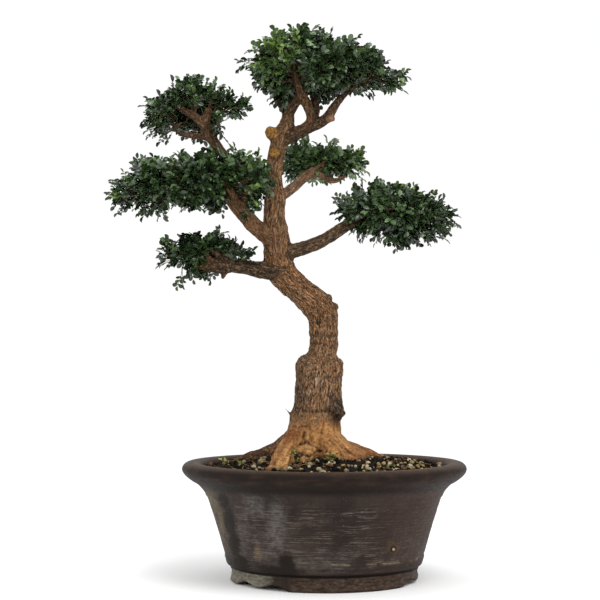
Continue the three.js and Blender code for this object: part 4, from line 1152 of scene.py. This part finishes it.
for salt, (name, pad) in enumerate(PADS.items()):
    rng = np.random.default_rng(100 + salt)
    middle, lobes, bare, fresh = np.array(pad["middle"], float), pad["lobes"], pad["bare"], pad["fresh"]
    ends = np.array([rows[-1][:3] for rows in BRANCHES[name]] + [
        point for rows in BRANCHES[name][:3] for point in smooth_run(rows, 12)[-3:, :3]])

    # Shoot tips all over the pad, fewer on its underside, and a few longer sprigs that stick out
    count = pad["shoots"]
    level = 1 - 2 * (np.arange(count) + 0.5) / count
    turn = GOLDEN * np.arange(count) + rng.normal(0, 0.08, count)
    flat = np.sqrt(1 - level ** 2)
    box = np.array(lobes, float)
    stretch = (box[:, :3] + box[:, 3:]).max(0) - (box[:, :3] - box[:, 3:]).min(0)
    directions = np.column_stack([flat * np.cos(turn), flat * np.sin(turn), level])
    directions = unit((directions + rng.normal(0, 0.05, (count, 3))) * stretch)
    kept = rng.uniform(size=count) < np.interp(directions[:, 2], [-1, -0.5, 0], [0.45, 0.7, 1])
    directions = directions[kept]
    inset = rng.uniform(9, 18, len(directions))
    inset = inset + np.where(directions[:, 2] > 0, 2, 6) * np.abs(directions[:, 2])
    deep = rng.uniform(size=len(directions)) < 0.25
    inset = np.where(deep, inset + rng.uniform(6, 16, len(directions)), inset)
    reach = reach_of(lobes, middle, directions)
    tips = middle + directions * np.maximum(reach - inset, 0.4 * reach)[:, None]
    sprigs = np.array(pad["sprigs"], float)
    sprig = np.arange(len(tips) + len(sprigs)) >= len(tips)
    outward = unit((sprigs - middle) * (1, 1, 0.6) + (0, 0, -8))
    tips = np.concatenate([tips, sprigs - 19 * outward])
    directions = np.concatenate([directions, outward])
    clear = sprig | np.array([not in_the_way(tip, bare) for tip in tips])
    directions, sprig, tips = directions[clear], sprig[clear], tips[clear]

    # Twigs: from the nearest branch end to a fork, and from each fork to its shoots
    hubs = tips[::9] * 0.55 + (middle - (0, 0, 6)) * 0.45 + rng.normal(0, 2, (len(tips[::9]), 3))
    stems = []
    for hub in hubs:
        start = ends[np.linalg.norm(ends - hub, axis=1).argmin()]
        bow = (start + hub) / 2 + rng.normal(0, 2.5, 3)
        stems.append(tube(smooth_run([(*start, 1.9), (*bow, 1.5), (*hub, 1.1)], 7), 5, 0.05))
    shoot_ways = []
    for tip in tips:
        hub = hubs[np.linalg.norm(hubs - tip, axis=1).argmin()]
        bow = hub * 0.45 + tip * 0.55 + 3 * DOWN + rng.normal(0, 2.0, 3)
        run = smooth_run([(*hub, 0.95), (*bow, 0.75), (*tip, 0.4)], 7)
        stems.append(tube(run, 4))
        shoot_ways.append(run)
    twigs = shaped("twigs_" + name.split("_", 1)[1], *together(stems))
    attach(twigs, "root")
    twigs.data.materials.append(twiggy.material)

    # Leaves in turn round each shoot's outer part, leaning out and mostly facing up. Leaves higher in the
    # pad are painted lighter and low ones darker, as painted light from above.
    feet, ways, ups, lengths, tones, stalks = [], [], [], [], [], []
    bottom, top = tips[:, 2].min(), tips[:, 2].max()
    for run, direction, long_sprig in zip(shoot_ways, directions, sprig):
        ahead = unit(run[-1, :3] - run[-2, :3])
        in_fresh = math.hypot((run[-1, 0] - fresh[0]) / fresh[2], (run[-1, 2] - fresh[1]) / fresh[3]) < 1
        young = rng.uniform() < (FRESH_HERE if in_fresh else FRESH_ELSEWHERE)
        # Painted light: shoots higher in the pad get lighter leaves
        lit = share((run[-1, 2] - bottom) / (top - bottom))
        shoot_tone = rng.uniform(-0.05, 0.45) + 0.36 * lit + pad["lift"]
        spin = rng.uniform(0, 6.28)
        for k in range(5 if long_sprig else SHOOT_LEAVES):
            foot = run[-1, :3] - ahead * (LEAFY_END * k / SHOOT_LEAVES * rng.uniform(0.8, 1.2))
            spin += GOLDEN
            around_shoot = unit(np.cross(ahead, (math.cos(spin), math.sin(spin), 0.3)))
            onward = 0.7 if k and not long_sprig else 1.5
            way = unit(ahead * onward + around_shoot * 0.9 + direction * 0.3 + rng.normal(0, 0.12, 3))
            up = unit(direction * 0.4 - DOWN + rng.normal(0, 0.36, 3))
            side = unit(np.cross(up, way))
            up = np.cross(way, side)
            long = rng.uniform(10, 15) if long_sprig else rng.uniform(13, 20)
            droop = rng.uniform(0.0, 0.35)
            if in_the_way(foot + way * 0.6 * long, bare):
                continue
            tip = foot + (way + droop * DOWN) * long
            if not long_sprig and not within(lobes, tip, rng.uniform(-4, 7)):
                continue
            line = [foot + way * t * long + DOWN * droop * t * t * long for t in (0, 0.5, 0.97)]
            stalks.append(tube(np.column_stack([line, (0.42, 0.36, 0.25)]), 3))
            if young:
                leaf_tone = rng.uniform(0.88, 1)
            else:
                leaf_tone = np.clip(shoot_tone + rng.normal(0, 0.12), 0, 0.86)
            for station, spread in STATIONS:
                if station == 0.25 and k % 3:
                    continue
                at = foot + way * station * long + DOWN * droop * station ** 2 * long
                lean = spread * rng.uniform(0.8, 1.15)
                feet.append(at)
                out = way * math.cos(lean) + side * math.sin(lean) - up * droop * 0.4
                ways.append(unit(out + rng.normal(0, 0.1, 3)))
                ups.append(unit(up + rng.normal(0, 0.3, 3)))
                lengths.append(rng.uniform(*LEAFLET_LENGTHS) * (1.1 if spread == 0 else 1))
                tones.append(np.clip(leaf_tone + rng.normal(0, 0.13), 0, 1 if young else 0.87))
    points, faces, reads = leaflet_mesh(*map(np.array, (feet, ways, ups, lengths, tones)), rng)
    stalk_points, stalk_faces = together(stalks)
    faces += [tuple(len(points) + k for k in face) for face in stalk_faces]
    reads = np.concatenate([reads, np.tile((0.5, 0.1, 0.7), (len(stalk_points), 1))])
    leaves = shaped("leaves_" + name.split("_", 1)[1], np.concatenate([points, stalk_points]), faces)
    written(leaves, "leaf", reads)
    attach(leaves, "root")
    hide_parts(name)
    leaves.data.materials.append(leafy.material)


# Weeds and moss at the foot of the trunk: small seedlings and cushions that came up by themselves
# and are rooted in the soil. Their leaves are soft, pale green and 3 to 5 mm long.
rng = np.random.default_rng(77)
WEEDS = [
    (8, -64, 148), (12, -60, 152), (15, -66, 144), (10, -70, 140), (54, -52, 149), (57, -50, 147),
    (52, -56, 144), (65, -46, 149), (67, -44, 146), (24, -92, 133), (29, -90, 134), (-73, -20, 141),
    (-70, -26, 139), (-50, -50, 139), (118, -70, 136), (126, -60, 136), (110, -82, 135), (94, -98, 134),
]
feet, ways, ups, lengths, tones = [], [], [], [], []
for x, y, z in WEEDS:
    for k in range(12):
        turn = GOLDEN * k + rng.uniform(0, 0.5)
        way = unit(np.array([math.cos(turn), math.sin(turn), rng.uniform(0.5, 1.6)]))
        feet.append(np.array([x, y, z]) + way * rng.uniform(0, 3) + rng.normal(0, 1.2, 3) * (1, 1, 0))
        ways.append(way)
        ups.append(unit(np.array([0, 0, 1]) + rng.normal(0, 0.3, 3)))
        lengths.append(rng.uniform(2.6, 5.4))
        tones.append(rng.uniform(0.3, 1))
points, faces, reads = leaflet_mesh(*map(np.array, (feet, ways, ups, lengths, tones)), rng)
weeds = shaped("weeds", points, faces)
written(weeds, "leaf", reads)
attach(weeds, "root")
weed = Finish("weed_green", Roughness=0.55, Specular_IOR_Level=0.4)
tone = weed.axis(weed.read("leaf", "Vector"), "Z")
weed.tone = weed.mix(weed.span(tone, 0.3, 1.0), (104, 112, 48), (176, 176, 100))
weed.coat(weed.span(weed.clouds(weed.where(), 500, 3.0), 0.4, 0.7, 0.0, 0.4), (112, 116, 60))
weed.colour(weed.tone)
weeds.data.materials.append(weed.material)


# Floor and light: a plain white floor under an even white sky, with one large soft lamp high in
# front on the right and a weaker one on the left.
corners = [(-9000, -9000, 0), (9000, -9000, 0), (9000, 9000, 0), (-9000, 9000, 0)]
floor = shaped("floor", corners, [(0, 1, 2, 3)])
pale = Finish("pale_floor", Roughness=0.9, Specular_IOR_Level=0.1)
pale.colour(paint(255, 255, 255))
floor.data.materials.append(pale.material)
world = bpy.data.worlds.new("sky")
bpy.context.scene.world = world
world.use_nodes = True
sky = world.node_tree.nodes["Background"].inputs
sky["Color"].default_value = (1, 1, 1, 1)
sky["Strength"].default_value = 1.02
LAMPS = [("key_lamp", (1.0, -1.5, 2.3), 1.4, 34), ("fill_lamp", (-1.8, -1.4, 1.2), 1.2, 7)]
for name, place, size, power in LAMPS:
    lamp = bpy.data.objects.new(name, bpy.data.lights.new(name, "AREA"))
    lamp.data.size = size
    lamp.data.energy = power
    lamp.location = place
    aim = np.array([0, 0, 0.35]) - np.array(place)
    tip = math.atan2(math.hypot(aim[0], aim[1]), -aim[2])
    lamp.rotation_euler = (tip, 0, math.atan2(aim[0], -aim[1]) + math.pi)
    bpy.context.collection.objects.link(lamp)
bpy.context.scene.view_settings.view_transform = "Standard"
